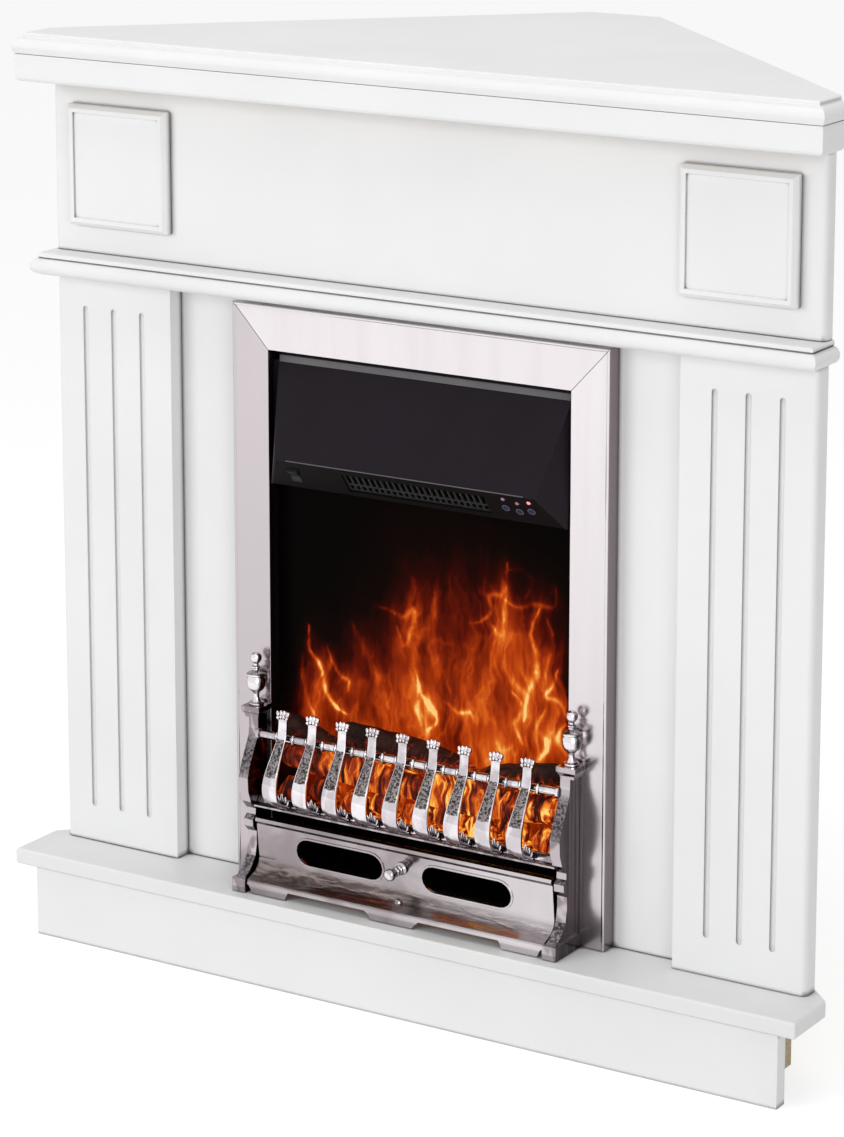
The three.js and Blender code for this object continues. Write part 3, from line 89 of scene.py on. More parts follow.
def in_fire(x: float, y: float, z: float) -> Point:
    """Turns a place in the fire, in millimetres, into the frame's metres.

    Args:
        x: Millimetres to the right of the middle.
        y: Millimetres behind the face of the infill panel.
        z: Millimetres above the hearth.

    Returns:
        The place in metres.
    """
    return (x / 1000, FACE + y / 1000, HEARTH + z / 1000)


# ---------------------------------------------------------------- shader nodes


class Wire:
    """A shader socket that Python's own arithmetic can be written on."""

    def __init__(self, sheet: Sheet, socket: bpy.types.NodeSocket | None) -> None:
        """Wraps one output socket.

        Args:
            sheet: The node tree that the socket belongs to.
            socket: The output socket, if the node has one.
        """
        self.sheet = sheet
        self.socket = socket

    def _maths(self, operation: str, *values: Any) -> Wire:
        """Adds a Math node on some values.

        Args:
            operation: The Math node's operation.
            values: Numbers or wires, in order.

        Returns:
            The node's result.
        """
        return self.sheet.node("Math", {"operation": operation}, dict(enumerate(values)))

    def __add__(self, other: Any) -> Wire:
        """This plus other."""
        return self._maths("ADD", self, other)

    def __radd__(self, other: Any) -> Wire:
        """Other plus this."""
        return self._maths("ADD", other, self)

    def __sub__(self, other: Any) -> Wire:
        """This less other."""
        return self._maths("SUBTRACT", self, other)

    def __rsub__(self, other: Any) -> Wire:
        """Other less this."""
        return self._maths("SUBTRACT", other, self)

    def __mul__(self, other: Any) -> Wire:
        """This times other."""
        return self._maths("MULTIPLY", self, other)

    def __rmul__(self, other: Any) -> Wire:
        """Other times this."""
        return self._maths("MULTIPLY", other, self)

    def __abs__(self) -> Wire:
        """This without its sign."""
        return self._maths("ABSOLUTE", self)

    def over(self, level: Any) -> Wire:
        """The greater of this and a level."""
        return self._maths("MAXIMUM", self, level)

    def step(self, low: float, high: float) -> Wire:
        """A smooth mask that rises from 0 at low to 1 at high.

        Args:
            low: Where the mask is 0.
            high: Where the mask is 1.

        Returns:
            The mask.
        """
        inputs = {"Value": self, "From Min": low, "From Max": high}
        return self.sheet.node("MapRange", {"interpolation_type": "SMOOTHSTEP"}, inputs)


class Sheet:
    """The node tree of one material, or of the world."""

    def __init__(self, material: bpy.types.Material | bpy.types.World) -> None:
        """Empties a tree and keeps hold of it.

        Args:
            material: A material, or the world, that uses nodes.
        """
        self.tree = material.node_tree
        self.tree.nodes.clear()

    def node(
        self,
        kind: str,
        settings: dict[str, Any] | None = None,
        inputs: dict[Any, Any] | None = None,
        output: Any = 0,
    ) -> Wire:
        """Adds any node.

        Args:
            kind: The node's type, without the ShaderNode that every type begins with.
            settings: Its own settings, set first. "stops" are a ramp's (place, colour) pairs.
            inputs: Values or wires by socket name or number.
            output: Which output the result is.

        Returns:
            The chosen output as a wire. The node that ends a tree has none.
        """
        made = self.tree.nodes.new(f"ShaderNode{kind}")
        for key, value in (settings or {}).items():
            if key == "stops":
                self._stops(made.color_ramp, value)
            else:
                setattr(made, key, value)
        for key, value in (inputs or {}).items():
            if isinstance(value, Wire):
                self.tree.links.new(value.socket, made.inputs[key])
            else:
                made.inputs[key].default_value = value
        return Wire(self, made.outputs[output] if len(made.outputs) else None)

    @staticmethod
    def _stops(ramp: bpy.types.ColorRamp, stops: Stops) -> None:
        """Sets a ramp's stops.

        Args:
            ramp: The ramp.
            stops: Pairs of place and colour, in rising order.
        """
        while len(ramp.elements) < len(stops):
            ramp.elements.new(0.5)
        for element, (place, colour) in zip(ramp.elements, stops):
            element.position = place
            element.color = (*colour, 1)

    def place(self, scale: Point = (1, 1, 1)) -> Wire:
        """Object coordinates, scaled along each axis."""
        at = self.node("TexCoord", output="Object")
        return self.node("Mapping", None, {"Vector": at, "Scale": scale})

    def height(self, axis: str = "Z") -> Wire:
        """One of the object coordinates, in metres."""
        at = self.node("TexCoord", output="Object")
        return self.node("SeparateXYZ", None, {"Vector": at}, axis)

    def facing(self, axis: str) -> Wire:
        """How far the surface faces along an axis of the object, from -1 to 1."""
        normal = self.node("TexCoord", output="Normal")
        return self.node("SeparateXYZ", None, {"Vector": normal}, axis)

    def open_air(self, reach: float) -> Wire:
        """How open the surface lies: about a half in a corner, 1 with nothing within reach, in metres."""
        return self.node("AmbientOcclusion", {"samples": 6}, {"Distance": reach}, "AO")

    def noise(
        self, scale: float, detail: float = 3, stretch: Point = (1, 1, 1), warp: float = 0
    ) -> Wire:
        """Noise on object coordinates.

        Args:
            scale: Lumps to a metre.
            detail: Octaves.
            stretch: How many times finer it is along each axis.
            warp: Distortion.

        Returns:
            A value from 0 to 1.
        """
        at = self.place(stretch)
        inputs = {"Vector": at, "Scale": scale, "Detail": detail, "Distortion": warp}
        return self.node("TexNoise", None, inputs)

    def blend(self, mask: Any, low: Any, high: Any) -> Wire:
        """Mixes two colours by a mask.

        Args:
            mask: 0 for low and 1 for high.
            low: A colour or a wire.
            high: A colour or a wire.

        Returns:
            The mixed colour.
        """
        low, high = ((*c, 1) if isinstance(c, tuple) else c for c in (low, high))
        return self.node("Mix", {"data_type": "RGBA"}, {0: mask, 6: low, 7: high}, 2)

    def bump(self, height: Wire, depth: float, strength: float = 1.0) -> Wire:
        """A normal that follows a height.

        Args:
            height: From 0 to 1.
            depth: Metres from the lowest to the highest.
            strength: How much of it shows.

        Returns:
            The normal.
        """
        inputs = {"Height": height, "Distance": depth, "Strength": strength}
        return self.node("Bump", None, inputs)

    def surface(self, **inputs: Any) -> None:
        """Ends the tree with a Principled surface.

        Args:
            inputs: Socket values, with spaces in the socket names written as underscores.
        """
        named = {
            key.replace("_", " "): (*value, 1) if isinstance(value, tuple) else value
            for key, value in inputs.items()
        }
        self.end(self.node("BsdfPrincipled", None, named))

    def end(self, shader: Wire, kind: str = "OutputMaterial") -> None:
        """Joins a shader to the node that ends the tree."""
        self.node(kind, None, {"Surface": shader})


# ---------------------------------------------------------------- finishes


@dataclass(frozen=True)
class Finish:
    """What a surface is made of. Each kind of finish lays out its own nodes."""

    name: str

    def nodes(self, sheet: Sheet) -> None:
        """Lays out the nodes.

        Args:
            sheet: The empty node tree.
        """
        raise NotImplementedError

    def material(self) -> bpy.types.Material:
        """Makes the material, or finds it if it was made before.

        Returns:
            The material.
        """
        found = bpy.data.materials.get(self.name)
        if found is None:
            found = bpy.data.materials.new(self.name)
            found.use_nodes = True
            self.nodes(Sheet(found))
        return found


@dataclass(frozen=True)
class Lacquer(Finish):
    """Sprayed satin lacquer on board, with painted shade: darker in corners and joints, and on walls that
    face +X inside recesses such as the flutes.
    """

    colour: Colour = (0.84, 0.84, 0.842)
    shade: Colour = (0.80, 0.80, 0.806)
    # Colour of the painted shade in corners, joints and recessed walls.
    joint: Colour = (0.12, 0.12, 0.125)
    reach: float = 0.008

    def nodes(self, sheet: Sheet) -> None:
        """Lays out the nodes.

        Args:
            sheet: The empty node tree.
        """
        cloud = sheet.noise(5, 3)
        peel = sheet.noise(420, 2)
        air = sheet.open_air(self.reach)
        tone = sheet.blend(cloud.step(0.3, 0.8), self.colour, self.shade)
        # Painted shade: recessed walls that face +X are darkened.
        away = sheet.facing("X").step(0.15, 0.6) * (1 - air.step(0.62, 0.98))
        tone = sheet.blend(away * 0.8, tone, self.joint)
        # Painted shade: the base colour darkens where ambient occlusion finds a corner or joint.
        sheet.surface(
            Base_Color=sheet.blend(air.step(0.47, 0.68), self.joint, tone),
            Roughness=0.36 + 0.1 * sheet.noise(14, 3),
            Normal=sheet.bump(peel, 0.00004, 0.5),
            Specular_IOR_Level=0.4,
        )


@dataclass(frozen=True)
class RawBoard(Finish):
    """The pressed face of bare board."""

    colour: Colour = (0.56, 0.45, 0.30)
    shade: Colour = (0.42, 0.32, 0.20)

    def nodes(self, sheet: Sheet) -> None:
        """Lays out the nodes.

        Args:
            sheet: The empty node tree.
        """
        fibre = sheet.noise(260, 4, (1, 1, 2.5), 0.4)
        sheet.surface(
            Base_Color=sheet.blend(fibre.step(0.35, 0.7), self.colour, self.shade),
            Roughness=0.8 + 0.12 * fibre,
            Normal=sheet.bump(fibre, 0.0001, 0.4),
        )


@dataclass(frozen=True)
class Chrome(Finish):
    """Smooth plated metal."""

    bright: Colour
    dim: Colour
    gloss: float
    wave: float = 0.0

    def nodes(self, sheet: Sheet) -> None:
        """Lays out the nodes.

        Args:
            sheet: The empty node tree.
        """
        cloud = sheet.noise(22, 3, warp=0.6)
        sheet.surface(
            Base_Color=sheet.blend(cloud.step(0.38, 0.68), self.bright, self.dim),
            Metallic=1.0,
            Roughness=self.gloss + 0.06 * cloud,
            Normal=sheet.bump(sheet.noise(80, 2), 0.004, self.wave),
        )


@dataclass(frozen=True)
class TrimChrome(Finish):
    """The trim's softly brushed plate: duller towards the hearth, with painted shade: dark mauve on the side
    flanges and in corners.
    """

    face: Colour = (0.70, 0.66, 0.675)
    dull: Colour = (0.52, 0.47, 0.49)
    # Colour of the painted shade on the side flanges and in corners.
    flange: Colour = (0.29, 0.245, 0.265)
    dull_below: tuple[float, float] = (0.14, 0.50)
    reach: float = 0.003

    def nodes(self, sheet: Sheet) -> None:
        """Lays out the nodes.

        Args:
            sheet: The empty node tree.
        """
        brushed = sheet.noise(60, 4, (1, 1, 0.05))
        low = 1 - sheet.height().step(*self.dull_below)
        tone = sheet.blend(low * 0.6 * (0.7 + 0.6 * brushed), self.face, self.dull)
        tone = sheet.blend(brushed.step(0.42, 0.7) * 0.10, tone, self.dull)
        # Painted shade: faces that look sideways, the flanges, are darkened.
        for side in (sheet.facing("X"), 0 - sheet.facing("X")):
            tone = sheet.blend(side.step(0.5, 0.85), tone, self.flange)
        # Painted shade: darker in corners by ambient occlusion.
        sheet.surface(
            Base_Color=sheet.blend(sheet.open_air(self.reach).step(0.40, 0.75), self.flange, tone),
            Metallic=1.0,
            Roughness=0.17 + 0.07 * brushed,
        )


@dataclass(frozen=True)
class CastChrome(Finish):
    """A plated casting: bright towards the room; painted reflection gives grey speckle on upper slopes, small
    dark patches and dark streaks at its sides, and painted shade darkens it below and in corners.
    """

    bright: Colour
    pale: Colour
    # Colour of the painted dark reflections in patches and streaks.
    side: Colour = (0.085, 0.068, 0.072)
    # Colour of the painted reflection on upper slopes.
    grit: Colour = (0.21, 0.19, 0.195)
    # Darkest colour: painted shade below and in corners, and painted reflection in speckle and streaks.
    deep: Colour = (0.028, 0.022, 0.024)
    gloss: float = 0.08
    wave: float = 0.12
    slope: tuple[float, float] = (0.22, 0.42)
    reach: float = 0.004

    def nodes(self, sheet: Sheet) -> None:
        """Lays out the nodes.

        Args:
            sheet: The empty node tree.
        """
        pool = sheet.noise(26, 2, (1, 1, 0.7), 1.0)
        fine = sheet.noise(300, 5, (1, 1, 1), 0.6)
        band = sheet.noise(60, 2, (1, 3, 0.06))
        up, across = sheet.facing("Z"), sheet.facing("X")
        slope = up.step(*self.slope) * (1 - up.step(0.80, 0.95))
        tone = sheet.blend(pool.step(0.46, 0.54), self.bright, self.pale)
        # Painted reflection: small sharp dark patches.
        tone = sheet.blend(pool.step(0.68, 0.70) * 0.8, tone, self.side)
        # Painted reflection: grey speckle on upper slopes, which the roughness and bump below also roughen.
        mottled = sheet.blend(fine.step(0.42, 0.58), self.grit, self.deep)
        tone = sheet.blend(slope * 0.92, tone, mottled)
        # Painted shade: downward faces darkened.
        tone = sheet.blend((0 - up).step(0.35, 0.8) * 0.8, tone, self.deep)
        # Painted reflection: dark streaks on faces that look sideways.
        streaks = sheet.blend(band.step(0.42, 0.58), self.deep, self.side)
        for wall in (across, 0 - across):
            tone = sheet.blend(wall.step(0.6, 0.9) * 0.98, tone, streaks)
        # Painted shade: darker in corners by ambient occlusion.
        sheet.surface(
            Base_Color=sheet.blend(sheet.open_air(self.reach).step(0.24, 0.66), self.deep, tone),
            Metallic=1.0,
            Roughness=self.gloss + 0.05 * pool + 0.2 * slope * fine,
            Normal=sheet.bump(sheet.noise(60, 2) + 0.3 * slope * fine, 0.002, self.wave),
        )


@dataclass(frozen=True)
class BarChrome(Finish):
    """Plated bars: a grey speckled patch inside a bright rim on the upward bow, painted reflection on a
    rougher surface, smooth metal round it; painted shade dims the undersides and darkens faces turned to the
    back and the corners.
    """

    bright: Colour = (0.84, 0.80, 0.825)
    pale: Colour = (0.60, 0.555, 0.585)
    # Colour of the painted reflection on the patch.
    grit: Colour = (0.33, 0.30, 0.305)
    deep: Colour = (0.035, 0.027, 0.027)
    low: float = HEARTH + 0.140
    high: float = HEARTH + 0.180
    fade: float = 0.0012
    reach: float = 0.0028

    def nodes(self, sheet: Sheet) -> None:
        """Lays out the nodes.

        Args:
            sheet: The empty node tree.
        """
        z = sheet.height()
        middle = sheet.node("Attribute", {"attribute_name": "middle"}, None, "Fac")
        fine = sheet.noise(420, 5, (1, 1, 1), 0.6)
        cloud = sheet.noise(40, 2, (1, 1, 0.5), 0.8)
        patch = z.step(self.low, self.low + self.fade) * (1 - z.step(self.high - self.fade, self.high))
        patch = patch * middle.step(0.15, 0.24)
        tone = sheet.blend(cloud.step(0.40, 0.60), self.bright, self.pale)
        # Painted reflection: grey speckle on the patch, which is also rougher and bumped.
        mottled = sheet.blend(fine.step(0.40, 0.60), self.grit, self.deep)
        tone = sheet.blend(patch, tone, mottled)
        # Painted shade: undersides dimmed.
        tone = sheet.blend((0 - sheet.facing("Z")).step(0.5, 0.9) * 0.5, tone, self.pale)
        # Painted shade: faces turned to the back darkened.
        tone = sheet.blend(sheet.facing("Y").step(0.1, 0.5) * 0.9, tone, self.deep)
        # Painted shade: darker in corners by ambient occlusion.
        sheet.surface(
            Base_Color=sheet.blend(sheet.open_air(self.reach).step(0.18, 0.60), self.deep, tone),
            Metallic=1.0,
            Roughness=0.08 + 0.04 * cloud + 0.22 * patch * fine,
            Normal=sheet.bump(patch * fine, 0.0012, 0.6),
        )


@dataclass(frozen=True)
class ReliefChrome(Finish):
    """The pressed cover of the ashpan: smooth sheet above, a dark leaf pattern where it flares; painted light
    brightens it towards the right, and painted shade darkens its undersides and corners.
    """

    plate: Colour = (0.46, 0.415, 0.43)
    dim: Colour = (0.30, 0.26, 0.27)
    # Colour of the painted light towards the right.
    bright: Colour = (0.74, 0.70, 0.72)
    leaf: Colour = (0.30, 0.245, 0.235)
    tarnish: Colour = (0.08, 0.055, 0.045)
    # Colour of the painted shade on undersides.
    under: Colour = (0.09, 0.075, 0.08)
    # Colour of the painted shade in corners.
    deep: Colour = (0.05, 0.04, 0.04)
    low: float = HEARTH + 0.0125
    high: float = HEARTH + 0.034
    reach: float = 0.004

    def nodes(self, sheet: Sheet) -> None:
        """Lays out the nodes.

        Args:
            sheet: The empty node tree.
        """
        z = sheet.height()
        flare = z.step(self.low, self.low + 0.003) * (1 - z.step(self.high - 0.006, self.high))
        cloud = sheet.noise(16, 3, warp=0.5)
        leaf = sheet.noise(85, 6, (0.35, 1, 1.8), 1.2)
        right = sheet.height("X").step(-0.05, 0.16)
        tone = sheet.blend(cloud.step(0.35, 0.7), self.plate, self.dim)
        # Painted light: brighter towards the right.
        tone = sheet.blend(right * 0.7, tone, self.bright)
        mottled = sheet.blend(leaf.step(0.36, 0.62), self.leaf, self.tarnish)
        # The leaf pattern fades where the painted light brightens the right.
        tone = sheet.blend(flare * (0.9 - 0.5 * right), tone, mottled)
        # Painted shade: downward faces darkened.
        tone = sheet.blend((0 - sheet.facing("Z")).step(0.3, 0.8) * 0.7, tone, self.under)
        # Painted shade: darker in corners by ambient occlusion.
        sheet.surface(
            Base_Color=sheet.blend(sheet.open_air(self.reach).step(0.3, 0.75), self.deep, tone),
            Metallic=1.0,
            Roughness=0.12 + 0.06 * cloud + 0.16 * flare * leaf,
            Normal=sheet.bump(leaf * flare + 0.12 * cloud, 0.0010, 0.6),
        )


@dataclass(frozen=True)
class Paint(Finish):
    """Smooth stoved paint or moulded plastic."""

    colour: Colour
    shade: Colour
    rough: float
    grain: float = 500
    depth: float = 0.00005
    shine: float = 0.35

    def nodes(self, sheet: Sheet) -> None:
        """Lays out the nodes.

        Args:
            sheet: The empty node tree.
        """
        cloud = sheet.noise(9, 3)
        speck = sheet.noise(self.grain, 3)
        sheet.surface(
            Base_Color=sheet.blend(cloud.step(0.3, 0.75), self.colour, self.shade),
            Roughness=self.rough + 0.1 * cloud,
            Normal=sheet.bump(speck, self.depth, 0.5),
            Specular_IOR_Level=self.shine,
        )


@dataclass(frozen=True)
class Lens(Finish):
    """A small clear moulding over a lamp."""

    colour: Colour = (0.30, 0.17, 0.21)
    glow: float = 0.0

    def nodes(self, sheet: Sheet) -> None:
        """Lays out the nodes.

        Args:
            sheet: The empty node tree.
        """
        ring = sheet.noise(600, 2)
        pale = tuple(min(1.0, 1.35 * part) for part in self.colour)
        tone = sheet.blend(ring.step(0.35, 0.65), self.colour, pale)
        sheet.surface(
            Base_Color=tone,
            Roughness=0.18 + 0.08 * ring,
            Emission_Color=tone,
            Emission_Strength=self.glow,
        )


@dataclass(frozen=True)
class FlamePicture(Finish):
    """The lit screen: a drawn heat, torn into fine upright threads and coloured from black to yellow."""

    glass: Colour = (0.0015, 0.001, 0.001)
    stops: Stops = (
        (0.0, (0.0004, 0.0001, 0.0001)),
        (0.12, (0.004, 0.0008, 0.0002)),
        (0.26, (0.028, 0.0014, 0.0003)),
        (0.40, (0.115, 0.006, 0.0005)),
        (0.54, (0.27, 0.022, 0.0015)),
        (0.68, (0.50, 0.055, 0.004)),
        (0.80, (0.69, 0.125, 0.011)),
        (0.91, (0.86, 0.30, 0.045)),
        (1.0, (0.98, 0.60, 0.20)),
    )

    def nodes(self, sheet: Sheet) -> None:
        """Lays out the nodes.

        Args:
            sheet: The empty node tree.
        """
        heat = sheet.node("Attribute", {"attribute_name": "warmth"}, None, "Fac")
        thread = sheet.noise(46, 4, (2.6, 1, 0.6), 1.6)
        smoke = sheet.noise(14, 4, (1.4, 1, 0.7), 1.0)
        torn = heat * (0.76 + 0.30 * thread + 0.18 * smoke)
        sheet.surface(
            Base_Color=self.glass,
            Roughness=0.24 + 0.05 * smoke,
            Emission_Color=sheet.node("ValToRGB", {"stops": self.stops}, {"Fac": torn}),
            Emission_Strength=1.0,
            Specular_IOR_Level=0.012,
        )


@dataclass(frozen=True)
class Embers(Finish):
    """Moulded fuel: dark charred bark with light from below in its cracks and hollows."""

    bark: Colour = (0.030, 0.012, 0.009)
    char: Colour = (0.008, 0.005, 0.005)
    high: float = HEARTH + 0.20
    stops: Stops = (
        (0.0, (0.0, 0.0, 0.0)),
        (0.20, (0.010, 0.001, 0.0003)),
        (0.36, (0.13, 0.008, 0.001)),
        (0.52, (0.42, 0.045, 0.003)),
        (0.68, (0.78, 0.16, 0.012)),
        (0.84, (0.95, 0.38, 0.04)),
        (1.0, (1.0, 0.68, 0.18)),
    )

    def nodes(self, sheet: Sheet) -> None:
        """Lays out the nodes.

        Args:
            sheet: The empty node tree.
        """
        z = sheet.height()
        x = sheet.height("X")
        bark = sheet.noise(60, 5, (0.6, 1, 1.4), 1.2)
        tongue = sheet.noise(36, 5, (2.4, 1, 0.55), 1.6).step(0.30, 0.74)
        veins = sheet.noise(22, 3, (1.3, 1, 0.7), 2.2)
        crack = 1 - abs(veins - 0.5).step(0.0, 0.05)
        below = 1 - z.step(self.high - 0.045, self.high)
        hot_spot = x.step(0.03, 0.06) * (1 - x.step(0.08, 0.12))
        warm = 0.50 + 0.42 * x.step(-0.19, 0.0) + 0.16 * hot_spot
        heat = (below * (0.80 * tongue + 0.20) + 0.25 * crack * tongue) * warm
        sheet.surface(
            Base_Color=sheet.blend(bark.step(0.35, 0.7), self.bark, self.char),
            Roughness=0.5 + 0.3 * bark,
            Specular_IOR_Level=0.12,
            Emission_Color=sheet.node("ValToRGB", {"stops": self.stops}, {"Fac": heat}),
            Emission_Strength=1.0,
            Normal=sheet.bump(bark - 0.5 * crack, 0.003, 0.7),
        )


@dataclass(frozen=True)
class Circuit(Finish):
    """A coated circuit board with a faint trace of copper."""

    board: Colour = (0.012, 0.09, 0.03)
    copper: Colour = (0.02, 0.16, 0.05)

    def nodes(self, sheet: Sheet) -> None:
        """Lays out the nodes.

        Args:
            sheet: The empty node tree.
        """
        trace = sheet.noise(160, 2, (3, 3, 1))
        sheet.surface(
            Base_Color=sheet.blend(trace.step(0.5, 0.54), self.board, self.copper),
            Roughness=0.4 + 0.1 * trace,
        )


LACQUER = Lacquer("satin_lacquer")
# The hearth shelf's lacquer is painted greyer and a little greener than the rest: painted shade and painted
# reflection.
SHELF_LACQUER = Lacquer("shelf_lacquer", (0.80, 0.808, 0.802), (0.75, 0.762, 0.752))
BARE = RawBoard("raw_fibre")
# Each leg has its own plate tone, the left painted darker and the right lighter than the head: painted
# reflection.
TRIM_CHROME = {
    "trim_left": TrimChrome("left_trim_chrome", (0.53, 0.485, 0.50)),
    "trim_right": TrimChrome("right_trim_chrome", (0.72, 0.68, 0.695)),
    "trim_top": TrimChrome("head_trim_chrome"),
}
CAST_CHROME = CastChrome("cast_chrome", (0.50, 0.45, 0.475), (0.28, 0.24, 0.255))
BAR_CHROME = BarChrome("bar_chrome")
TURNED_CHROME = CastChrome(
    "turned_chrome", (0.80, 0.76, 0.785), (0.52, 0.475, 0.50), slope=(0.55, 0.9)
)
COVER_CHROME = ReliefChrome("cover_chrome")
BLACK_STEEL = Paint("stoved_black", (0.004, 0.003, 0.003), (0.006, 0.0045, 0.0045), 0.40, shine=0.05)
HOOD_STEEL = Paint("hood_steel", (0.011, 0.008, 0.011), (0.014, 0.010, 0.014), 0.42, shine=0.10)
BLACK_PLASTIC = Paint("moulded_black", (0.008, 0.008, 0.009), (0.012, 0.012, 0.013), 0.42, 700)
GREY_PLASTIC = Paint("moulded_grey", (0.09, 0.10, 0.11), (0.07, 0.075, 0.085), 0.45, 600, shine=0.4)
# Grey of the strip and the rod that are painted highlights along the hood's top edge and lip.
STRIP_PAINT = Paint("strip_grey", (0.14, 0.135, 0.14), (0.10, 0.095, 0.10), 0.4, 600)
RING_INK = Paint("ring_blue", (0.13, 0.14, 0.30), (0.10, 0.11, 0.24), 0.4, 800)
DULL_LENS = Lens("unlit_lamp")
LIT_LENS = Lens("red_lamp", (0.82, 0.24, 0.26), 0.6)
FLAMES = FlamePicture("flame_picture")
EMBERS = Embers("embers")
PLATED = Chrome("zinc_plate", (0.50, 0.52, 0.54), (0.38, 0.40, 0.42), 0.32, 0.05)
CLIP_STEEL = Chrome("clip_steel", (0.75, 0.72, 0.70), (0.45, 0.42, 0.40), 0.15)
CIRCUIT = Circuit("green_board")

SLOT_FINISH: dict[str, Finish] = {
    "bare_board": BARE,
    "black_steel": BLACK_STEEL,
    "black_plastic": BLACK_PLASTIC,
    "grey_plastic": GREY_PLASTIC,
    "plated_steel": PLATED,
    "circuit_board": CIRCUIT,
}

# ---------------------------------------------------------------- bench work


def clear_bench() -> None:
    """Leaves edit mode and deselects every object."""
    if bpy.context.object is not None and bpy.context.object.mode != "OBJECT":
        bpy.ops.object.mode_set(mode="OBJECT")
    bpy.ops.object.select_all(action="DESELECT")


def hold(piece: Piece) -> None:
    """Makes one object the active and only selected one.

    Args:
        piece: The object.
    """
    clear_bench()
    piece.select_set(True)
    bpy.context.view_layer.objects.active = piece


@contextmanager
def editing(piece: Piece, test: Callable[[Vector], bool] = lambda at: True) -> Iterator[None]:
    """Keeps one object in edit mode, and at first selects the vertices that pass a test.

    Args:
        piece: The object.
        test: Takes a vertex's place. Every vertex passes if it isn't given.

    Yields:
        Nothing, once the object is in edit mode.
    """
    hold(piece)
    for group in (piece.data.polygons, piece.data.edges):
        group.foreach_set("select", [False] * len(group))
    for vertex in piece.data.vertices:
        vertex.select = test(vertex.co)
    bpy.ops.object.mode_set(mode="EDIT")
    bpy.ops.mesh.select_mode(type="VERT")
    yield
    bpy.ops.object.mode_set(mode="OBJECT")


def started(name: str, add: Callable[..., Any], **settings: Any) -> Piece:
    """Adds a primitive with nothing else selected.

    Args:
        name: The piece's name.
        add: The operator that adds the primitive.
        settings: The operator's settings.

    Returns:
        The new piece.
    """
    clear_bench()
    add(**settings)
    bpy.context.object.name = name
    return bpy.context.object


def linked(name: str, data: bpy.types.ID) -> Piece:
    """Makes an object of some data and puts it in the scene.

    Args:
        name: The object's name.
        data: Its mesh, lamp or camera.

    Returns:
        The object, at the origin.
    """
    made = bpy.data.objects.new(name, data)
    bpy.context.scene.collection.objects.link(made)
    return made


def extrude(step: Sequence[float]) -> None:
    """Extrudes what is selected by a step in metres."""
    bpy.ops.mesh.extrude_region_move(TRANSFORM_OT_translate={"value": step})


def settle(
    piece: Piece, place: Point = (0, 0, 0), turn: Point = (0, 0, 0)
) -> Piece:
    """Turns and moves a piece and puts its place into its mesh.

    Args:
        piece: A piece at the origin.
        place: Where it goes.
        turn: Its turn about X, Y and Z, in degrees.

    Returns:
        The piece.
    """
    clear_bench()
    turned_by = Euler([math.radians(angle) for angle in turn]).to_matrix().to_4x4()
    piece.data.transform(Matrix.Translation(place) @ turned_by @ piece.matrix_basis)
    piece.matrix_basis = Matrix.Identity(4)
    return piece


def apply(piece: Piece, kind: str, **settings: Any) -> None:
    """Adds a modifier and applies it.

    Args:
        piece: The object.
        kind: The modifier's type.
        settings: Its settings.
    """
    hold(piece)
    modifier = piece.modifiers.new(kind.lower(), kind)
    for key, value in settings.items():
        setattr(modifier, key, value)
    bpy.ops.object.modifier_apply(modifier=modifier.name)


def ease(piece: Piece, width: float, segments: int, angle: float) -> None:
    """Rounds a piece's edges over.

    Args:
        piece: The object.
        width: How wide the eased edges are, in metres.
        segments: Faces across an eased edge.
        angle: Edges sharper than this are eased, in degrees.
    """
    limits = {"limit_method": "ANGLE", "angle_limit": math.radians(angle)}
    apply(piece, "BEVEL", width=width, segments=segments, **limits)


def smooth(piece: Piece, degrees: float = 35, boards: bool = False) -> None:
    """Shades a piece smooth where its faces meet at less than an angle.

    Args:
        piece: The object.
        degrees: The angle.
        boards: Whether its large faces are kept flat right up to their eased edges.
    """
    hold(piece)
    bpy.ops.object.shade_smooth_by_angle(angle=math.radians(degrees))
    if boards:
        apply(piece, "WEIGHTED_NORMAL", keep_sharp=True, weight=80)


def copied(piece: Piece, name: str, shift: Point) -> Piece:
    """Copies a piece with its own mesh.

    Args:
        piece: The piece to copy.
        name: The copy's name.
        shift: How far the copy is from the piece.

    Returns:
        The copy.
    """
    twin = linked(name, piece.data.copy())
    twin.data.transform(Matrix.Translation(shift))
    return twin


def joined(pieces: Sequence[Piece], name: str) -> Piece:
    """Joins pieces into one object.

    Args:
        pieces: The pieces; the first one stays.
        name: The name of the whole.

    Returns:
        The whole.
    """
    hold(pieces[0])
    for piece in pieces:
        piece.select_set(True)
    bpy.ops.object.join()
    pieces[0].name = name
    return pieces[0]


def dress(piece: Piece, finish: Finish) -> None:
    """Gives an object one finish all over."""
    piece.data.materials.clear()
    piece.data.materials.append(finish.material())


def fitted(
    piece: Piece, finish: Finish, body: str, slot: str, *nodes: str
) -> Piece:
    """Dresses a piece and fixes it to a body.

    Args:
        piece: The piece, in place.
        finish: Its finish.
        body: The body that it moves with.
        slot: The record's material slot; not used.
        nodes: The CAD nodes that it stands for.

    Returns:
        The piece.
    """
    dress(piece, finish)
    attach(piece, body)
    if nodes:
        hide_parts(*nodes)
    log.info("%s: %d faces, rides on %s", piece.name, len(piece.data.polygons), body)
    return piece


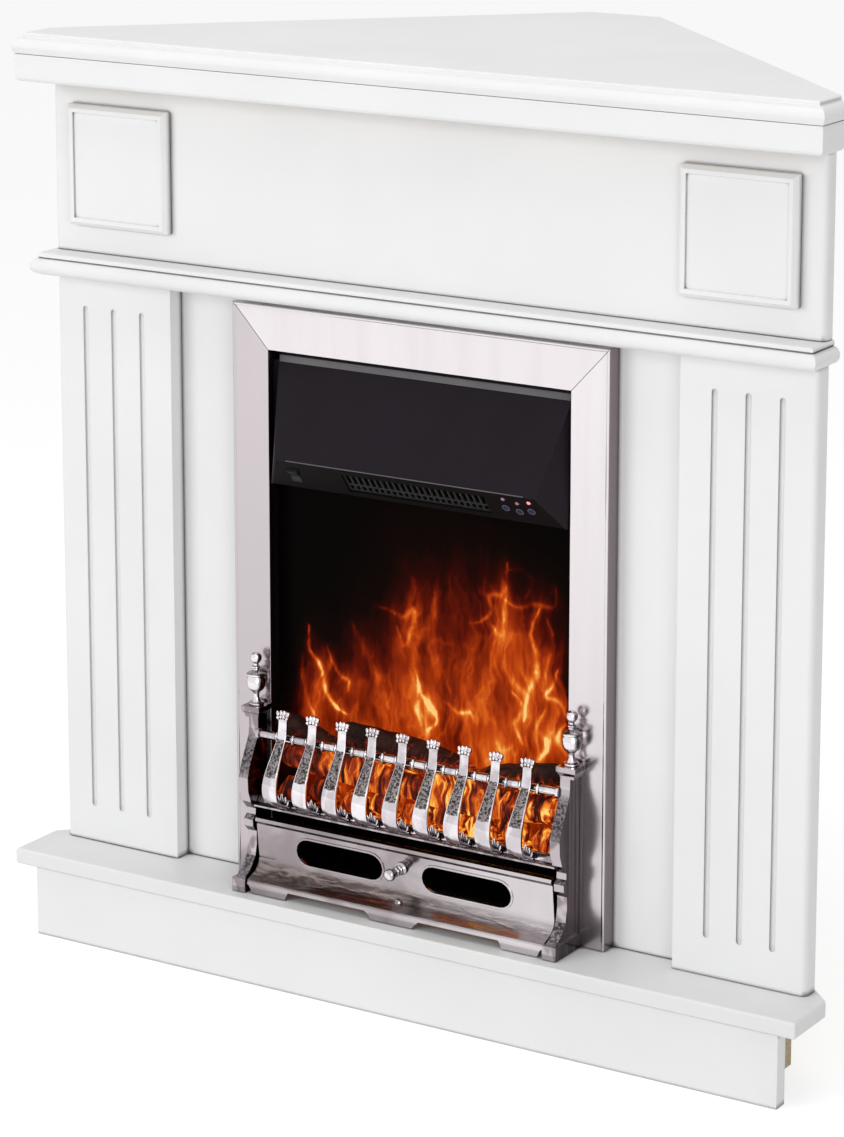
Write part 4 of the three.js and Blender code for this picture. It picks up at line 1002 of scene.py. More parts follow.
@dataclass(frozen=True)
class Packed:
    """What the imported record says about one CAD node."""

    node: str

    @property
    def body(self) -> str:
        """The body that the node rides on."""
        bodies = frame["record"]["behaviour"]["bodies"]
        return next(body for body, members in bodies.items() if self.node in members)

    @property
    def slot(self) -> str:
        """The node's material slot."""
        parts = frame["record"]["subparts"]
        return next(part["material_slot"] for part in parts if part["node"] == self.node)

    def carry_over(self, finish: Finish | None = None) -> None:
        """Keeps the CAD node itself and gives it a finish.

        Args:
            finish: The finish, where it isn't the usual one of the node's slot.
        """
        dress(frame["nodes"][self.node], finish or SLOT_FINISH[self.slot])
        log.info("%s: carried over", self.node)

    def merged(self, name: str) -> Piece:
        """A merged copy of the node's mesh.

        Args:
            name: The copy's name.

        Returns:
            The copy, free of the frame.
        """
        copy = linked(name, frame["nodes"][self.node].data.copy())
        with editing(copy):
            bpy.ops.mesh.remove_doubles(threshold=WELD)
            bpy.ops.mesh.dissolve_limited(angle_limit=math.radians(0.5))
        return copy

    def eased(
        self, finish: Finish, width: float = 0.0006, segments: int = 2, angle: float = 32
    ) -> Piece:
        """Stands a copy with eased edges in for the node.

        Args:
            finish: The copy's finish.
            width: How wide the eased edges are.
            segments: Faces across an eased edge.
            angle: Edges sharper than this are eased.

        Returns:
            The copy, dressed and fixed to the node's body.
        """
        copy = self.merged(f"{self.node}_eased")
        ease(copy, width, segments, angle)
        smooth(copy, angle, boards=True)
        return fitted(copy, finish, self.body, self.slot, self.node)


def lathe(name: str, profile: Outline, steps: int = 32) -> Piece:
    """Turns an outline round the Z axis.

    Args:
        name: The piece's name.
        profile: (radius, height) pairs in millimetres.
        steps: Faces round the axis.

    Returns:
        The turned piece, at the origin.
    """
    piece = started(name, bpy.ops.mesh.primitive_plane_add, size=UNIT)
    points = [Vector((r / 1000, 0, h / 1000)) for r, h in profile]
    with editing(piece):
        bpy.ops.mesh.merge(type="CENTER")
        bpy.ops.transform.translate(value=points[0])
        for before, after in zip(points, points[1:]):
            extrude(after - before)
        bpy.ops.mesh.select_all(action="SELECT")
        bpy.ops.mesh.spin(steps=steps, angle=math.tau, center=(0, 0, 0), axis=(0, 0, 1))
        bpy.ops.mesh.select_all(action="SELECT")
        bpy.ops.mesh.remove_doubles(threshold=WELD)
        bpy.ops.mesh.normals_make_consistent(inside=False)
    smooth(piece, 40)
    return piece


def lobe(size: Point, place: Point, turn: Point, rings: int = 8) -> Piece:
    """A leaf-like lobe: a ball drawn out and pinched at its foot.

    Args:
        size: Its half sizes in millimetres.
        place: Its middle.
        turn: Its turn in degrees.
        rings: Rings from pole to pole.

    Returns:
        The lobe.
    """
    ball = bpy.ops.mesh.primitive_uv_sphere_add
    piece = started("lobe", ball, segments=2 * rings, ring_count=rings, radius=UNIT)
    with editing(piece):
        bpy.ops.transform.resize(value=size)
    with editing(piece, lambda at: at.z < -0.2 * UNIT * size[2]):
        bpy.ops.transform.resize(value=(0.62, 0.7, 1), center_override=(0, 0, 0))
    smooth(piece, 60)
    return settle(piece, place, turn)


def curve_through(points: Outline, count: int) -> list[tuple[float, float]]:
    """Points along a smooth curve.

    Args:
        points: What the curve passes through.
        count: How many steps to take.

    Returns:
        The points on the curve.
    """
    ends = [points[0], *points, points[-1]]
    found = []
    for step in range(count + 1):
        at = step / count * (len(points) - 1)
        k = min(int(at), len(points) - 2)
        t = at - k
        a, b, c, d = (np.array(ends[k + i]) for i in range(4))
        bend, twist = 2 * a - 5 * b + 4 * c - d, 3 * b - a - 3 * c + d
        value = 0.5 * (2 * b + (c - a) * t + bend * t**2 + twist * t**3)
        found.append((float(value[0]), float(value[1])))
    return found


# ---------------------------------------------------------------- surround


@dataclass
class Surround:
    """The white boards: mantel, frieze, rail, pilasters, infill, hearth and plinth. Sizes are in metres."""

    moulded: tuple[str, ...] = ("mantel_top", "mantel_fascia", "mid_rail")
    boards: tuple[str, ...] = (
        "frieze_board", "infill_panel", "plinth_front", "side_return_left", "side_return_right",
    )
    fluted: tuple[str, ...] = ("pilaster_left", "pilaster_right")
    raised: tuple[str, ...] = ("frieze_panel_left", "frieze_panel_right")
    hidden: tuple[str, ...] = ("mantel_core", "plinth_side_left", "plinth_side_right")
    edge: float = 0.0006
    slant: float = 0.0042
    border: float = 0.0044
    sunk: float = 0.0026
    groove: float = 0.0008
    margin: float = 0.0004
    rounding: float = 0.0016
    sharp: float = 30

    def build_plaque(self, node: str) -> None:
        """Models a raised panel with a rounded border and a slightly sunken field.

        Args:
            node: The CAD node that the panel stands for.
        """
        low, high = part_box(node)
        panel = started(f"{node}_bordered", bpy.ops.mesh.primitive_cube_add, size=UNIT)
        with editing(panel):
            bpy.ops.transform.resize(value=tuple(1000 * (high - low)))
        steps = ((self.slant, self.slant), (self.border, 0), (self.groove, -self.sunk), (self.margin, 0))
        with editing(panel, lambda at: at.y < 0):
            bpy.ops.transform.translate(value=(0, self.slant, 0))
            bpy.ops.mesh.select_mode(type="FACE")
            for thickness, depth in steps:
                bpy.ops.mesh.inset(thickness=thickness, depth=depth)
        ease(panel, self.rounding, 4, self.sharp)
        smooth(panel, self.sharp + 1, boards=True)
        settle(panel, tuple((low + high) / 2))
        packed = Packed(node)
        fitted(panel, LACQUER, packed.body, packed.slot, node)

    def build(self) -> None:
        """Eases and dresses every board."""
        for node in self.moulded + self.boards + self.fluted:
            Packed(node).eased(LACQUER, self.edge)
        for node in self.raised:
            self.build_plaque(node)
        Packed("hearth_shelf").eased(SHELF_LACQUER, self.edge)
        for node in self.hidden:
            Packed(node).carry_over()


# ---------------------------------------------------------------- fire


@dataclass
class Casing:
    """The trim round the fire, the casing behind it and what is hidden inside. Sizes are in metres."""

    inside: tuple[str, ...] = (
        "fire_casing", "rear_cover", "cord_gland", "control_board", "light_board", "flame_spindle",
        "spindle_motor", "spindle_bearing", "blower_rotor", "blower_housing", "blower_motor",
        "heater_element",
    )
    edge: float = 0.0005

    def build(self) -> None:
        """Eases the trim and dresses the rest."""
        for node, plate in TRIM_CHROME.items():
            Packed(node).eased(plate, self.edge)
        for node in self.inside:
            Packed(node).carry_over(BLACK_PLASTIC if node == "light_board" else None)


@dataclass
class Hood:
    """The black hood with its outlet, switch, buttons and lamps. Sizes are in millimetres."""

    strip_half: float = 184
    strip_thick: float = 2.4
    strip_depth: float = -5.9
    strip_low: float = 596
    strip_high: float = 603.5
    strip_lip: float = 1.2
    fold_half: float = 150
    fold_radius: float = 0.6
    fold_shift: tuple[float, float] = (-0.05, 0.2)
    lip: tuple[float, float] = (-48, 496)
    foot: tuple[float, float] = (-20, 460)
    ring_radius: float = 4.2
    ring_wire: float = 0.36
    ring_out: float = 1.42
    ring_squash: float = 0.6
    keys: tuple[tuple[str, float, float], ...] = (
        ("left", 122, 22), ("middle", 138, 25), ("right", 153.5, 21.5),
    )
    clips: int = 20
    clip_radius: float = 0.9
    clip_length: float = 3
    clip_first: float = -52
    clip_pitch: float = 7.75
    clip_drop: float = 11
    clip_deep: float = -8.5

    @property
    def slope(self) -> float:
        """The outlet panel's turn about X, in degrees."""
        return math.degrees(math.atan2(self.lip[1] - self.foot[1], self.lip[0] - self.foot[0]))

    def on_panel(self, x: float, drop: float, out: float) -> Point:
        """A place on the outlet panel.

        Args:
            x: Millimetres to the right of the middle.
            drop: Millimetres down the panel from the lip.
            out: Millimetres out of its face.

        Returns:
            The place in metres.
        """
        down = Vector((self.foot[0] - self.lip[0], self.foot[1] - self.lip[1])).normalized()
        face = Vector((down[1], -down[0]))
        y = self.lip[0] + down[0] * drop + face[0] * out
        z = self.lip[1] + down[1] * drop + face[1] * out
        return in_fire(x, y, z)

    def build_shell(self) -> None:
        """Eases the hood, the panel, the outlet and the switch."""
        Packed("hood").eased(HOOD_STEEL, 0.0008, 3, 20)
        Packed("outlet_panel").eased(BLACK_STEEL, 0.0003)
        Packed("outlet_grille").eased(BLACK_PLASTIC, 0.0003)
        Packed("power_rocker").eased(BLACK_PLASTIC, 0.0006, 3, 15)

    def build_strip(self) -> None:
        """A pale grey strip along the top of the hood: a painted highlight on its bent edge."""
        strip = started("hood_strip", bpy.ops.mesh.primitive_cube_add, size=UNIT)
        size = (2 * self.strip_half, self.strip_thick, self.strip_high - self.strip_low)
        with editing(strip):
            bpy.ops.transform.resize(value=size)
        with editing(strip, lambda at: at.y < 0 and at.z < 0):
            bpy.ops.transform.translate(value=(0, -self.strip_lip / 1000, 0))
        ease(strip, 0.0006, 2, 30)
        smooth(strip)
        settle(strip, in_fire(0, self.strip_depth, (self.strip_low + self.strip_high) / 2))
        fitted(strip, STRIP_PAINT, "fireplace", "black_steel")

    def build_fold(self) -> None:
        """A thin grey rod along the lip of the hood: a painted highlight on its fold."""
        y, z = self.lip
        size = {"radius": self.fold_radius / 1000, "depth": 2 * self.fold_half / 1000}
        fold = started("hood_fold", bpy.ops.mesh.primitive_cylinder_add, vertices=10, **size)
        with editing(fold):
            bpy.ops.mesh.bevel(offset=0.0003, segments=2)
        smooth(fold, 50)
        settle(fold, in_fire(0, y + self.fold_shift[0], z + self.fold_shift[1]), (0, 90, 0))
        fitted(fold, STRIP_PAINT, "fireplace", "black_steel")

    def build_keys(self) -> None:
        """The buttons with their rings, and the lamps."""
        size = {"major_radius": self.ring_radius / 1000, "minor_radius": self.ring_wire / 1000}
        fine = {"major_segments": 36, "minor_segments": 8}
        for place, x, drop in self.keys:
            Packed(f"button_{place}").eased(BLACK_PLASTIC, 0.0003)
            ring = started(f"button_ring_{place}", bpy.ops.mesh.primitive_torus_add, **size, **fine)
            with editing(ring):
                bpy.ops.transform.resize(value=(1, 1, self.ring_squash))
            smooth(ring, 60)
            settle(ring, self.on_panel(x, drop, self.ring_out), (self.slope, 0, 0))
            fitted(ring, RING_INK, f"{place}_button", "black_plastic")
            Packed(f"indicator_{place}").eased(LIT_LENS if place == "right" else DULL_LENS, 0.0001)

    def build_clips(self) -> None:
        """Bright spring clips of the heating element that show at the top of the slots."""
        clips = []
        size = {"radius": self.clip_radius / 1000, "depth": self.clip_length / 1000}
        for k in range(self.clips):
            clip = started("clip", bpy.ops.mesh.primitive_cylinder_add, vertices=8, **size)
            with editing(clip):
                bpy.ops.mesh.bevel(offset=0.0002, segments=1)
            x, uneven = self.clip_first + k * self.clip_pitch, (k * 7 % 3) * 0.6
            place = self.on_panel(x, self.clip_drop + uneven, self.clip_deep)
            clips.append(settle(clip, place, (self.slope, 0, 0)))
        fitted(joined(clips, "element_clips"), CLIP_STEEL, "fireplace", "plated_steel")

    def build(self) -> None:
        """Builds the hood and all that is on it."""
        self.build_shell()
        self.build_strip()
        self.build_fold()
        self.build_keys()
        self.build_clips()


@dataclass(frozen=True)
class Glow:
    """A soft body of flame on the screen, in millimetres across and up."""

    place: tuple[float, float]
    reach: tuple[float, float]
    heat: float

    def drawn(self, x: np.ndarray, z: np.ndarray) -> np.ndarray:
        """How hot it makes each point. It fades faster upwards than down.

        Args:
            x: Across, in millimetres.
            z: Above the hearth, in millimetres.

        Returns:
            The heat.
        """
        across = np.abs((x - self.place[0]) / self.reach[0])
        up = np.abs((z - self.place[1]) / self.reach[1])
        slower = np.where(z > self.place[1], 1, 0.25)
        return self.heat * np.exp(-(across**2.4) - slower * up**2)


@dataclass(frozen=True)
class Wisp:
    """A bright thread at the edge of a flame, in millimetres across and up."""

    points: Outline
    width: float
    heat: float
    steps: int = 14
    veil: float = 4.5

    def drawn(self, x: np.ndarray, z: np.ndarray) -> np.ndarray:
        """How hot it makes each point, thin at both ends and with a faint veil round it.

        Args:
            x: Across, in millimetres.
            z: Above the hearth, in millimetres.

        Returns:
            The heat.
        """
        path = curve_through(self.points, self.steps)
        total = np.zeros_like(x)
        for k, (a, b) in enumerate(zip(path, path[1:])):
            along = np.array(b) - np.array(a)
            share = ((x - a[0]) * along[0] + (z - a[1]) * along[1]) / max(float(along @ along), 1e-6)
            share = np.clip(share, 0, 1)
            off = np.hypot(x - a[0] - share * along[0], z - a[1] - share * along[1])
            part = (k + share) / len(path)
            wide = self.width * (0.35 + 1.1 * np.sin(math.pi * np.clip(part, 0.02, 0.98)))
            core = 0.8 * np.exp(-((off / wide) ** 2))
            total = np.maximum(total, core + 0.34 * np.exp(-((off / (self.veil * wide)) ** 2)))
        return self.heat * total


def value_noise(x: np.ndarray, z: np.ndarray, seed: int, octaves: int = 4) -> np.ndarray:
    """Smooth seeded noise in two directions.

    Args:
        x: Across, in lumps.
        z: Up, in lumps.
        seed: Which noise.
        octaves: How many finer layers are added.

    Returns:
        Values from 0 to 1.
    """
    total, weight, share = np.zeros_like(x), 0.0, 1.0
    for octave in range(octaves):
        lattice = np.random.default_rng(seed + octave).random((LATTICE, LATTICE))
        i, j = np.floor(x).astype(int), np.floor(z).astype(int)
        u, v = x - i, z - j
        u, v = u * u * (3 - 2 * u), v * v * (3 - 2 * v)
        left, right, down, up = (cell % LATTICE for cell in (i, i + 1, j, j + 1))
        low = lattice[left, down] * (1 - u) + lattice[right, down] * u
        high = lattice[left, up] * (1 - u) + lattice[right, up] * u
        total = total + share * (low * (1 - v) + high * v)
        weight, share = weight + share, share * 0.55
        x, z = 2.03 * x + 5.2, 2.03 * z + 1.7
    return total / weight


@dataclass
class FlameScreen:
    """The lit picture behind the fuel. Sizes are in millimetres."""

    half: float = 193.7
    low: float = 94
    high: float = 459.7
    front: float = 1
    thick: float = 3
    columns: int = 288
    rows: int = 272
    glows: tuple[Glow, ...] = (
        Glow((-146, 215), (20, 62), 0.52),
        Glow((-112, 205), (22, 56), 0.42),
        Glow((-74, 210), (30, 82), 0.46),
        Glow((-22, 220), (34, 110), 0.46),
        Glow((20, 215), (28, 118), 0.42),
        Glow((76, 225), (32, 104), 0.60),
        Glow((104, 270), (20, 78), 0.42),
        Glow((140, 215), (34, 88), 0.56),
        Glow((172, 205), (26, 96), 0.54),
        Glow((20, 300), (84, 118), 0.19),
        Glow((116, 340), (62, 62), 0.24),
        Glow((20, 145), (185, 62), 0.52),
    )
    wisps: tuple[Wisp, ...] = (
        Wisp(((-156, 298), (-151, 269), (-138, 253), (-131, 228), (-119, 212), (-104, 205)), 2.2, 0.62),
        Wisp(((-160, 262), (-163, 240), (-156, 214), (-146, 196)), 2.4, 0.30),
        Wisp(((-130, 278), (-123, 259), (-110, 245), (-100, 242), (-103, 231)), 1.7, 0.42),
        Wisp(((-65, 334), (-48, 333), (-29, 328), (-16, 338), (-17, 318), (-27, 294), (-37, 316)), 2.3, 0.30),
        Wisp(((-96, 310), (-84, 288), (-64, 258), (-50, 220)), 5.0, 0.20),
        Wisp(((-18, 372), (-13, 340), (-11, 296), (-20, 236)), 5.0, 0.20),
        Wisp(((10, 360), (14, 320), (20, 262), (26, 226)), 5.0, 0.18),
        Wisp(((-11, 262), (-8, 243), (5, 228), (13, 214), (0, 200)), 2.2, 0.52),
        Wisp(((-9, 250), (-12, 226), (-8, 206)), 2.0, 0.36),
        Wisp(((24, 238), (40, 230), (54, 233), (60, 222)), 2.0, 0.34),
        Wisp(((54, 331), (70, 336), (83, 351), (77, 366), (96, 372), (101, 392), (104, 408)), 2.2, 0.36),
        Wisp(((99, 386), (100, 359), (99, 340), (96, 324), (84, 333)), 2.6, 0.34),
        Wisp(((101, 366), (117, 360), (138, 366), (160, 366), (162, 386)), 2.0, 0.30),
        Wisp(((104, 400), (122, 404), (134, 392), (128, 372)), 1.8, 0.14),
        Wisp(((142, 362), (132, 334), (140, 308), (136, 280), (129, 264), (123, 233)), 2.4, 0.44),
        Wisp(((152, 352), (160, 326), (152, 300), (146, 272)), 2.0, 0.24),
        Wisp(((166, 298), (160, 280), (150, 266), (168, 262), (178, 246)), 2.2, 0.44),
        Wisp(((110, 262), (122, 246), (112, 226), (124, 206)), 2.4, 0.36),
        Wisp(((150, 250), (142, 230), (154, 212), (146, 194)), 2.4, 0.42),
        Wisp(((176, 240), (168, 222), (178, 204)), 2.4, 0.40),
    )

    def heat_at(self, x: np.ndarray, z: np.ndarray) -> np.ndarray:
        """The heat of the whole picture.

        Args:
            x: Across, in millimetres.
            z: Above the hearth, in millimetres.

        Returns:
            From 0, black, to 1, yellow.
        """
        drift = value_noise(x / 52, z / 64, 11) - 0.5
        curl = value_noise(x / 30, z / 34, 23) - 0.5
        wx = x + 30 * drift + 12 * curl
        wz = z + 26 * (value_noise(x / 38, z / 52, 37) - 0.5)
        body = sum(glow.drawn(wx, wz) for glow in self.glows)
        body = 1 - np.exp(-1.35 * body)
        feather = value_noise(wx / 6, z / 15, 97)
        streak = value_noise(wx / 11, wz / 62, 51)
        broad = value_noise(wx / 30, wz / 95, 67)
        fold = 1 - np.abs(2 * value_noise(wx / 19, wz / 58, 83, 3) - 1)
        heat = body * (0.20 + 0.52 * streak + 0.56 * broad) + 0.26 * body * fold**6
        thread = sum(wisp.drawn(x + 9 * curl, z + 7 * drift) for wisp in self.wisps)
        return np.clip(heat + thread * (0.10 + 1.25 * feather), 0, 1.3)

    def build(self) -> None:
        """Models the pane and draws the heat on it."""
        grid = {"x_subdivisions": self.columns, "y_subdivisions": self.rows, "size": UNIT}
        upright = (math.pi / 2, 0, 0)
        pane = started("flame_picture", bpy.ops.mesh.primitive_grid_add, rotation=upright, **grid)
        settle(pane)
        with editing(pane):
            bpy.ops.transform.resize(value=(2 * self.half, 1, self.high - self.low))
            bpy.ops.mesh.region_to_loop()
            extrude((0, self.thick / 1000, 0))
            bpy.ops.mesh.edge_face_add()
        settle(pane, in_fire(0, self.front, (self.low + self.high) / 2))
        count = len(pane.data.vertices)
        places = np.zeros(count * 3)
        pane.data.vertices.foreach_get("co", places)
        x, y, z = places.reshape(-1, 3).T
        lit = y < in_fire(0, self.front + self.thick / 2, 0)[1]
        heat = pane.data.attributes.new("warmth", "FLOAT", "POINT")
        heat.data.foreach_set("value", self.heat_at(x * 1000, (z - HEARTH) * 1000) * lit)
        fitted(pane, FLAMES, "fireplace", "flame_screen", "flame_screen")


@dataclass
class FuelBed:
    """The moulded logs and coals. Sizes are in metres."""

    cuts: int = 2
    rough: float = 0.0032
    lump: float = 0.013

    def build(self) -> None:
        """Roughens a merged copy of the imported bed."""
        bed = Packed("fuel_bed").merged("fuel_logs")
        with editing(bed):
            bpy.ops.mesh.quads_convert_to_tris()
            bpy.ops.mesh.subdivide(number_cuts=self.cuts)
        for share in (1, 3):
            texture = bpy.data.textures.new("bark", "CLOUDS")
            texture.noise_scale = self.lump / share
            relief = {"strength": self.rough / share, "mid_level": 0.6, "texture_coords": "LOCAL"}
            apply(bed, "DISPLACE", texture=texture, **relief)
        smooth(bed, 50)
        fitted(bed, EMBERS, "fireplace", "fuel_resin", "fuel_bed")


# ---------------------------------------------------------------- fret


@dataclass
class Fret:
    """The cheeks, rails, bars and finials in front of the fuel. Sizes are in millimetres."""

    inner: float = 194
    bars: int = 9
    end_space: float = 0.9
    rail: tuple[float, float, float] = (-40, 177, 5)
    rail_gap: float = 0.3
    bead: float = 7.2
    bead_half: float = 2.4
    bead_round: tuple[float, float] = (0.7, 0.62)
    bead_from_bar: float = 10.7
    collar: tuple[float, float] = (3.2, 4.8)
    bar_width: float = 18.6
    neck: float = 0.52
    belly: tuple[float, float] = (126, 34)
    strap: float = 3.4
    stations: int = 30
    ridge: tuple[float, Point] = (0.0005, (0, -0.0012, 0.0004))
    """How near the middle the ridge lies, and how far it is drawn forward, in metres."""
    flank: tuple[float, Point] = (0.0042, (0, 0.0007, -0.0002))
    """How far out the flanks begin, and how far they are pushed back, in metres."""
    line: Outline = (
        (-46.6, 98.9), (-50.2, 99.4), (-52, 101.5), (-58, 104.5), (-67, 109), (-73.4, 117), (-75, 127),
        (-72.6, 139), (-66, 152), (-57.5, 166), (-51, 177), (-47.8, 188), (-46.6, 201),
    )
    crown: tuple[float, float] = (-44.8, 206.5)
    finial_x: float = 202.25
    finial_y: float = -32
    finial_z: float = 207.3
    urn: Outline = (
        (0, 0), (8.5, 0), (8.7, 1.2), (8.5, 2.5), (5.4, 3.4), (4.2, 5.4), (3.2, 9), (3.3, 12.4), (5, 15),
        (8.2, 17.4), (10.2, 21), (10.8, 25), (10.7, 30), (9.3, 31.6), (9.2, 33), (10.7, 34),
        (10.8, 35.6), (9.4, 36.8), (6, 38.2), (3.7, 40), (3.5, 41.4), (4.6, 42.6), (4.4, 44), (2.8, 45),
        (2.6, 47.2), (4.2, 48.6), (6, 51.2), (6.5, 54), (5.9, 57), (3.8, 59.2), (0, 59.9),
    )

    @property
    def pitch(self) -> float:
        """From one bar to the next."""
        return 2 * self.inner / (self.bars + self.end_space)

    def bar_x(self, k: int) -> float:
        """The middle of a bar, counted from 0 at the left."""
        return (k - (self.bars - 1) / 2) * self.pitch

    def width_at(self, z: float) -> float:
        """A bar's width at a height."""
        fullness = math.exp(-(((z - self.belly[0]) / self.belly[1]) ** 2))
        return self.bar_width * (self.neck + (1 - self.neck) * fullness)

    def strap_along(self, name: str) -> Piece:
        """A bowed strap with a raised middle, at the middle of the fret.

        Args:
            name: The strap's name.

        Returns:
            The strap.
        """
        stations = curve_through(self.line, self.stations)
        grid = {"x_subdivisions": 4, "y_subdivisions": 1, "size": UNIT}
        strap = started(name, bpy.ops.mesh.primitive_grid_add, **grid)
        first, second = stations[0], stations[1]
        centre = (first[0] + second[0]) / 2
        with editing(strap):
            bpy.ops.transform.resize(value=(self.width_at(first[1]), first[0] - second[0], 1))
        settle(strap, in_fire(0, centre, first[1]))
        with editing(strap, lambda at: at.y < in_fire(0, centre, 0)[1]):
            bpy.ops.transform.translate(value=(0, 0, (second[1] - first[1]) / 1000))
            for before, after in zip(stations[1:], stations[2:]):
                extrude((0, (after[0] - before[0]) / 1000, (after[1] - before[1]) / 1000))
                ratio = self.width_at(after[1]) / self.width_at(before[1])
                bpy.ops.transform.resize(value=(ratio, 1, 1), center_override=(0, 0, 0))
            bpy.ops.mesh.select_all(action="SELECT")
            bpy.ops.mesh.normals_make_consistent(inside=False)
        with editing(strap, lambda at: abs(at.x) < self.ridge[0]):
            bpy.ops.transform.translate(value=self.ridge[1])
        with editing(strap, lambda at: abs(at.x) > self.flank[0]):
            bpy.ops.transform.translate(value=self.flank[1])
        middle = strap.data.attributes.new("middle", "FLOAT", "POINT")
        for vertex in strap.data.vertices:
            half = self.width_at((vertex.co.z - HEARTH) * 1000) / 2000
            middle.data[vertex.index].value = 1 - min(1, abs(vertex.co.x) / half)
        apply(strap, "SOLIDIFY", thickness=self.strap / 1000, offset=0)
        ease(strap, 0.0005, 2, 50)
        smooth(strap, 45)
        return strap

    def crown_lobes(self) -> list[Piece]:
        """The paw that crowns a bar: four curled fingers over a ball.

        Returns:
            The ball and the fingers.
        """
        y, z = self.crown
        lobes = [lobe((8.0, 4.0, 6.2), in_fire(0, y + 0.6, z - 2.2), (0, 0, 0))]
        for away in (-1.5, -0.5, 0.5, 1.5):
            x, top, turn = away * 4.1, z - abs(away) * 1.1, away * 12
            lobes.append(lobe((2.3, 3.0, 4.6), in_fire(x, y - 1.0, top + 0.7), (10, turn, 0)))
            lobes.append(lobe((2.0, 2.0, 2.3), in_fire(x * 0.94, y - 3.4, top - 2.6), (0, turn, 0), 6))
        return lobes

    def foot_leaves(self) -> list[Piece]:
        """The pointed leaves that stand on the lower rail where a bar meets it.

        Returns:
            Five leaves, the tallest in the middle.
        """
        leaves = [lobe((2.4, 1.6, 9.6), in_fire(0, -49.8, 106.6), (6, 0, 0))]
        for side in (part.value for part in Side):
            leaves.append(lobe((2.0, 1.5, 7.8), in_fire(side * 3.7, -50.2, 105.4), (6, side * 13, 0)))
            leaves.append(lobe((1.7, 1.4, 5.4), in_fire(side * 6.8, -50.4, 103.6), (6, side * 24, 0)))
        return leaves

    def build_bars(self) -> None:
        """Models one bar and copies it along the rail."""
        bar = joined([self.strap_along("bar"), *self.crown_lobes(), *self.foot_leaves()], "bar")
        for k in range(self.bars):
            copy = copied(bar, f"bowed_bar_{k + 1}", (self.bar_x(k) / 1000, 0, 0))
            fitted(copy, BAR_CHROME, "fireplace", "polished_chrome", f"fret_bar_{k + 1}")
        bpy.data.objects.remove(bar)

    def build_rail(self) -> None:
        """Turns the top rail with a bead on each side of every bar."""
        y, z, thin = self.rail
        end, full, half = self.inner - self.rail_gap, self.bead, self.bead_half
        thick, thinned = self.collar
        round_radius, round_half = full - self.bead_round[0], half * self.bead_round[1]
        profile = [(0, -end), (full, -end), (full, thick - end), (thin, thinned - end)]
        for k in range(self.bars):
            for side in Side:
                x = self.bar_x(k) + side.value * self.bead_from_bar
                profile += [(thin, x - half), (round_radius, x - round_half), (full, x)]
                profile += [(round_radius, x + round_half), (thin, x + half)]
        profile += [(thin, end - thinned), (full, end - thick), (full, end), (0, end)]
        rail = lathe("beaded_rail", profile, 28)
        settle(rail, in_fire(0, y, z), (0, 90, 0))
        fitted(rail, TURNED_CHROME, "fireplace", "polished_chrome", "top_rail")

    def build_finials(self) -> None:
        """Turns one urn and copies it to the other side."""
        urn = lathe("urn_left", self.urn, 36)
        settle(urn, in_fire(-self.finial_x, self.finial_y, self.finial_z))
        twin = copied(urn, "urn_right", (2 * self.finial_x / 1000, 0, 0))
        for side, piece in ((Side.LEFT, urn), (Side.RIGHT, twin)):
            fitted(piece, TURNED_CHROME, "fireplace", "polished_chrome", f"finial_{side.word}")

    def build(self) -> None:
        """Builds the fret."""
        for side in Side:
            Packed(f"cheek_{side.word}").eased(CAST_CHROME, 0.001, 3, 22)
        Packed("lower_rail").eased(CAST_CHROME, 0.0005, 2, 22)
        self.build_rail()
        self.build_bars()
        self.build_finials()


@dataclass
class AshpanCover:
    """The cover under the fret, with its turned knob. Sizes are in millimetres."""

    knob: Outline = (
        (0, 0), (7, 0), (7.2, 1), (7, 2), (5.2, 3), (4.5, 3.9), (5, 5), (5.7, 6.2), (5.6, 7.8), (4.4, 9),
        (4, 10), (4.7, 11.2), (5.5, 12.4), (5.4, 13.8), (4.2, 15), (3.6, 16.2), (3.9, 17.8), (5.2, 19.6),
        (6.5, 21.4), (7, 23.6), (6.6, 25.8), (5.2, 27.6), (3, 28.7), (0, 29),
    )

    def build(self) -> None:
        """Eases the cover and turns the knob."""
        Packed("ashpan_cover").eased(COVER_CHROME, 0.0005, 2, 24)
        low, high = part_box("ashpan_knob")
        knob = lathe("turned_knob", self.knob, 32)
        settle(knob, (0, high.y, (low.z + high.z) / 2), (90, 0, 0))
        fitted(knob, TURNED_CHROME, "ash_cover", "polished_chrome", "ashpan_knob")


# ---------------------------------------------------------------- studio


@dataclass(frozen=True)
class Lamp:
    """A soft rectangular lamp that points at the fireplace. Sizes are in metres."""

    name: str
    place: Point
    width: float
    height: float
    watts: float
    mirrored: bool = True

    def build(self, aim: Point) -> None:
        """Hangs the lamp.

        Args:
            aim: What it points at.
        """
        light = bpy.data.lights.new(self.name, "AREA")
        light.shape = "RECTANGLE"
        light.size = self.width
        light.size_y = self.height
        light.energy = self.watts
        lamp = linked(self.name, light)
        lamp.visible_glossy = self.mirrored
        lamp.location = self.place
        ray = Vector(aim) - Vector(self.place)
        lamp.rotation_euler = ray.to_track_quat("-Z", "Y").to_euler()


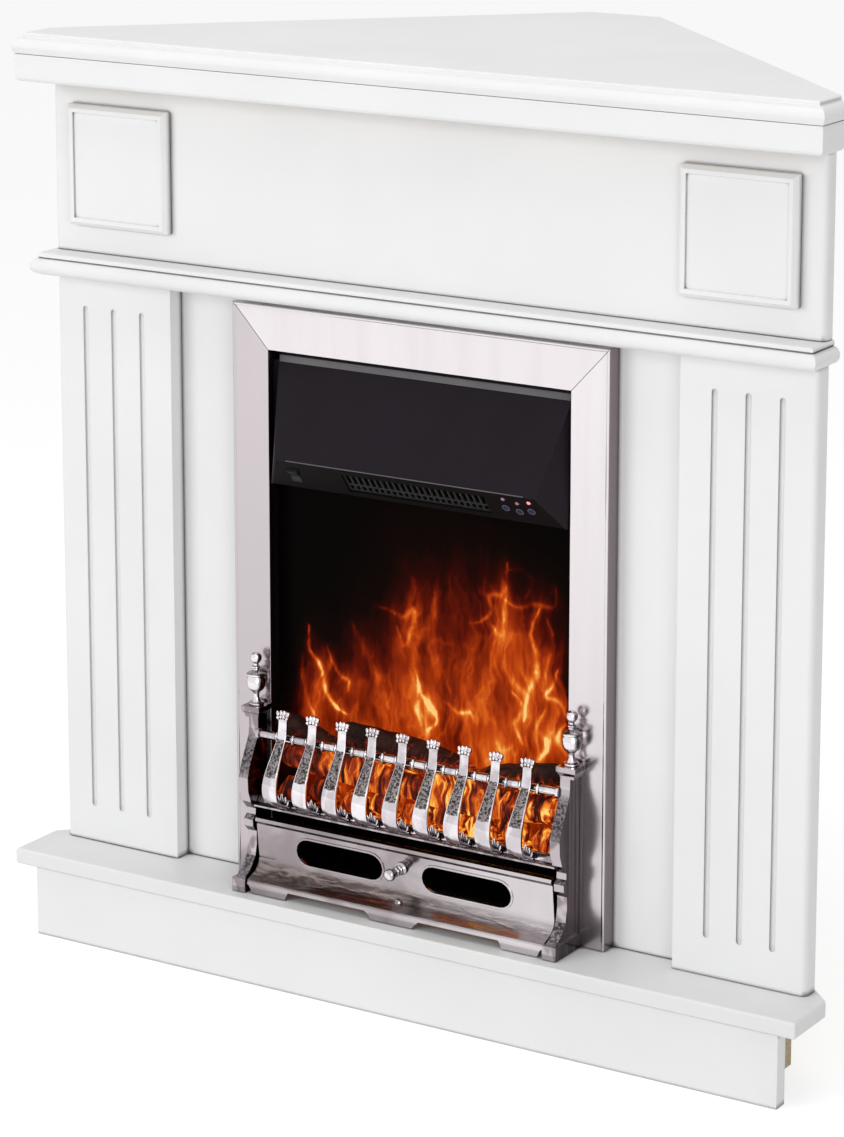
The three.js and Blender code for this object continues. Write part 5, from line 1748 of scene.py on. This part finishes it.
@dataclass
class Studio:
    """The camera, the floor, the lamps and the surroundings, in metres and degrees."""

    eye: Point = (2.11895, -3.57012, 1.59409)
    yaw: float = 32.0
    pitch: float = 12.04
    lens: float = 121.07
    sensor: float = 36
    rise: float = -0.2
    far: float = 100
    floor_size: float = 24.0
    floor_light: float = 0.68
    around: float = 0.50
    aim: Point = (0, -0.1, 0.55)
    lamps: tuple[Lamp, ...] = (
        Lamp("key", (-2.4, -3.9, 1.7), 2.2, 2.0, 70, False),
        Lamp("fill", (2.8, -3.0, 1.3), 2.0, 2.0, 36),
        Lamp("top", (0.0, -0.6, 3.4), 2.6, 2.2, 25),
    )

    def build_camera(self) -> None:
        """Stands the camera at the photograph's viewing angle."""
        data = bpy.data.cameras.new("camera")
        data.lens = self.lens
        data.sensor_width = self.sensor
        data.shift_y = self.rise
        data.clip_end = self.far
        camera = linked("camera", data)
        camera.location = self.eye
        camera.rotation_euler = (math.radians(90 - self.pitch), 0, math.radians(self.yaw))
        bpy.context.scene.camera = camera

    @staticmethod
    def shows(sheet: Sheet) -> Wire:
        """1 for the rays that show the background: from the camera, in a reflection or through glass.

        Args:
            sheet: The node tree.

        Returns:
            The mask.
        """
        kinds = ("Camera", "Glossy", "Transmission")
        direct, mirrored, through = (sheet.node("LightPath", output=f"Is {kind} Ray") for kind in kinds)
        return direct.over(mirrored).over(through)

    def build_floor(self) -> None:
        """Lays a plain pale floor that keeps the fireplace's shadow."""
        floor = started("floor", bpy.ops.mesh.primitive_plane_add, size=self.floor_size)
        with editing(floor):
            bpy.ops.mesh.subdivide(number_cuts=3)
        material = bpy.data.materials.new("floor")
        material.use_nodes = True
        sheet = Sheet(material)
        pale = sheet.node("BsdfDiffuse", None, {"Color": (0.80, 0.80, 0.80, 1)})
        part = sheet.node("BsdfDiffuse", None, {"Color": (0.50, 0.50, 0.50, 1)})
        light = sheet.node("Emission", None, {"Strength": self.floor_light})
        lit = sheet.node("AddShader", None, {0: part, 1: light})
        sheet.end(sheet.node("MixShader", None, {0: self.shows(sheet), 1: pale, 2: lit}))
        floor.data.materials.append(material)

    def build_surroundings(self) -> None:
        """A plain white world, dimmer where it lights the fireplace."""
        world = bpy.data.worlds.new("studio")
        world.use_nodes = True
        bpy.context.scene.world = world
        sheet = Sheet(world)
        dim, white = (
            sheet.node("Background", None, {"Color": (1, 1, 1, 1), "Strength": strength})
            for strength in (self.around, 1.0)
        )
        sheet.end(sheet.node("MixShader", None, {0: self.shows(sheet), 1: dim, 2: white}), "OutputWorld")

    def build(self) -> None:
        """Sets up the whole studio."""
        self.build_camera()
        self.build_floor()
        self.build_surroundings()
        for lamp in self.lamps:
            lamp.build(self.aim)
        bpy.context.scene.view_settings.view_transform = "Standard"


def main() -> None:
    """Builds the fireplace's looks in order."""
    logging.basicConfig(level=logging.INFO, format="%(name)s: %(message)s")
    for kind in (Studio, Surround, Casing, Hood, FlameScreen, FuelBed, Fret, AshpanCover):
        log.info("building %s", kind.__name__)
        kind().build()


if __name__ == "__main__":
    main()
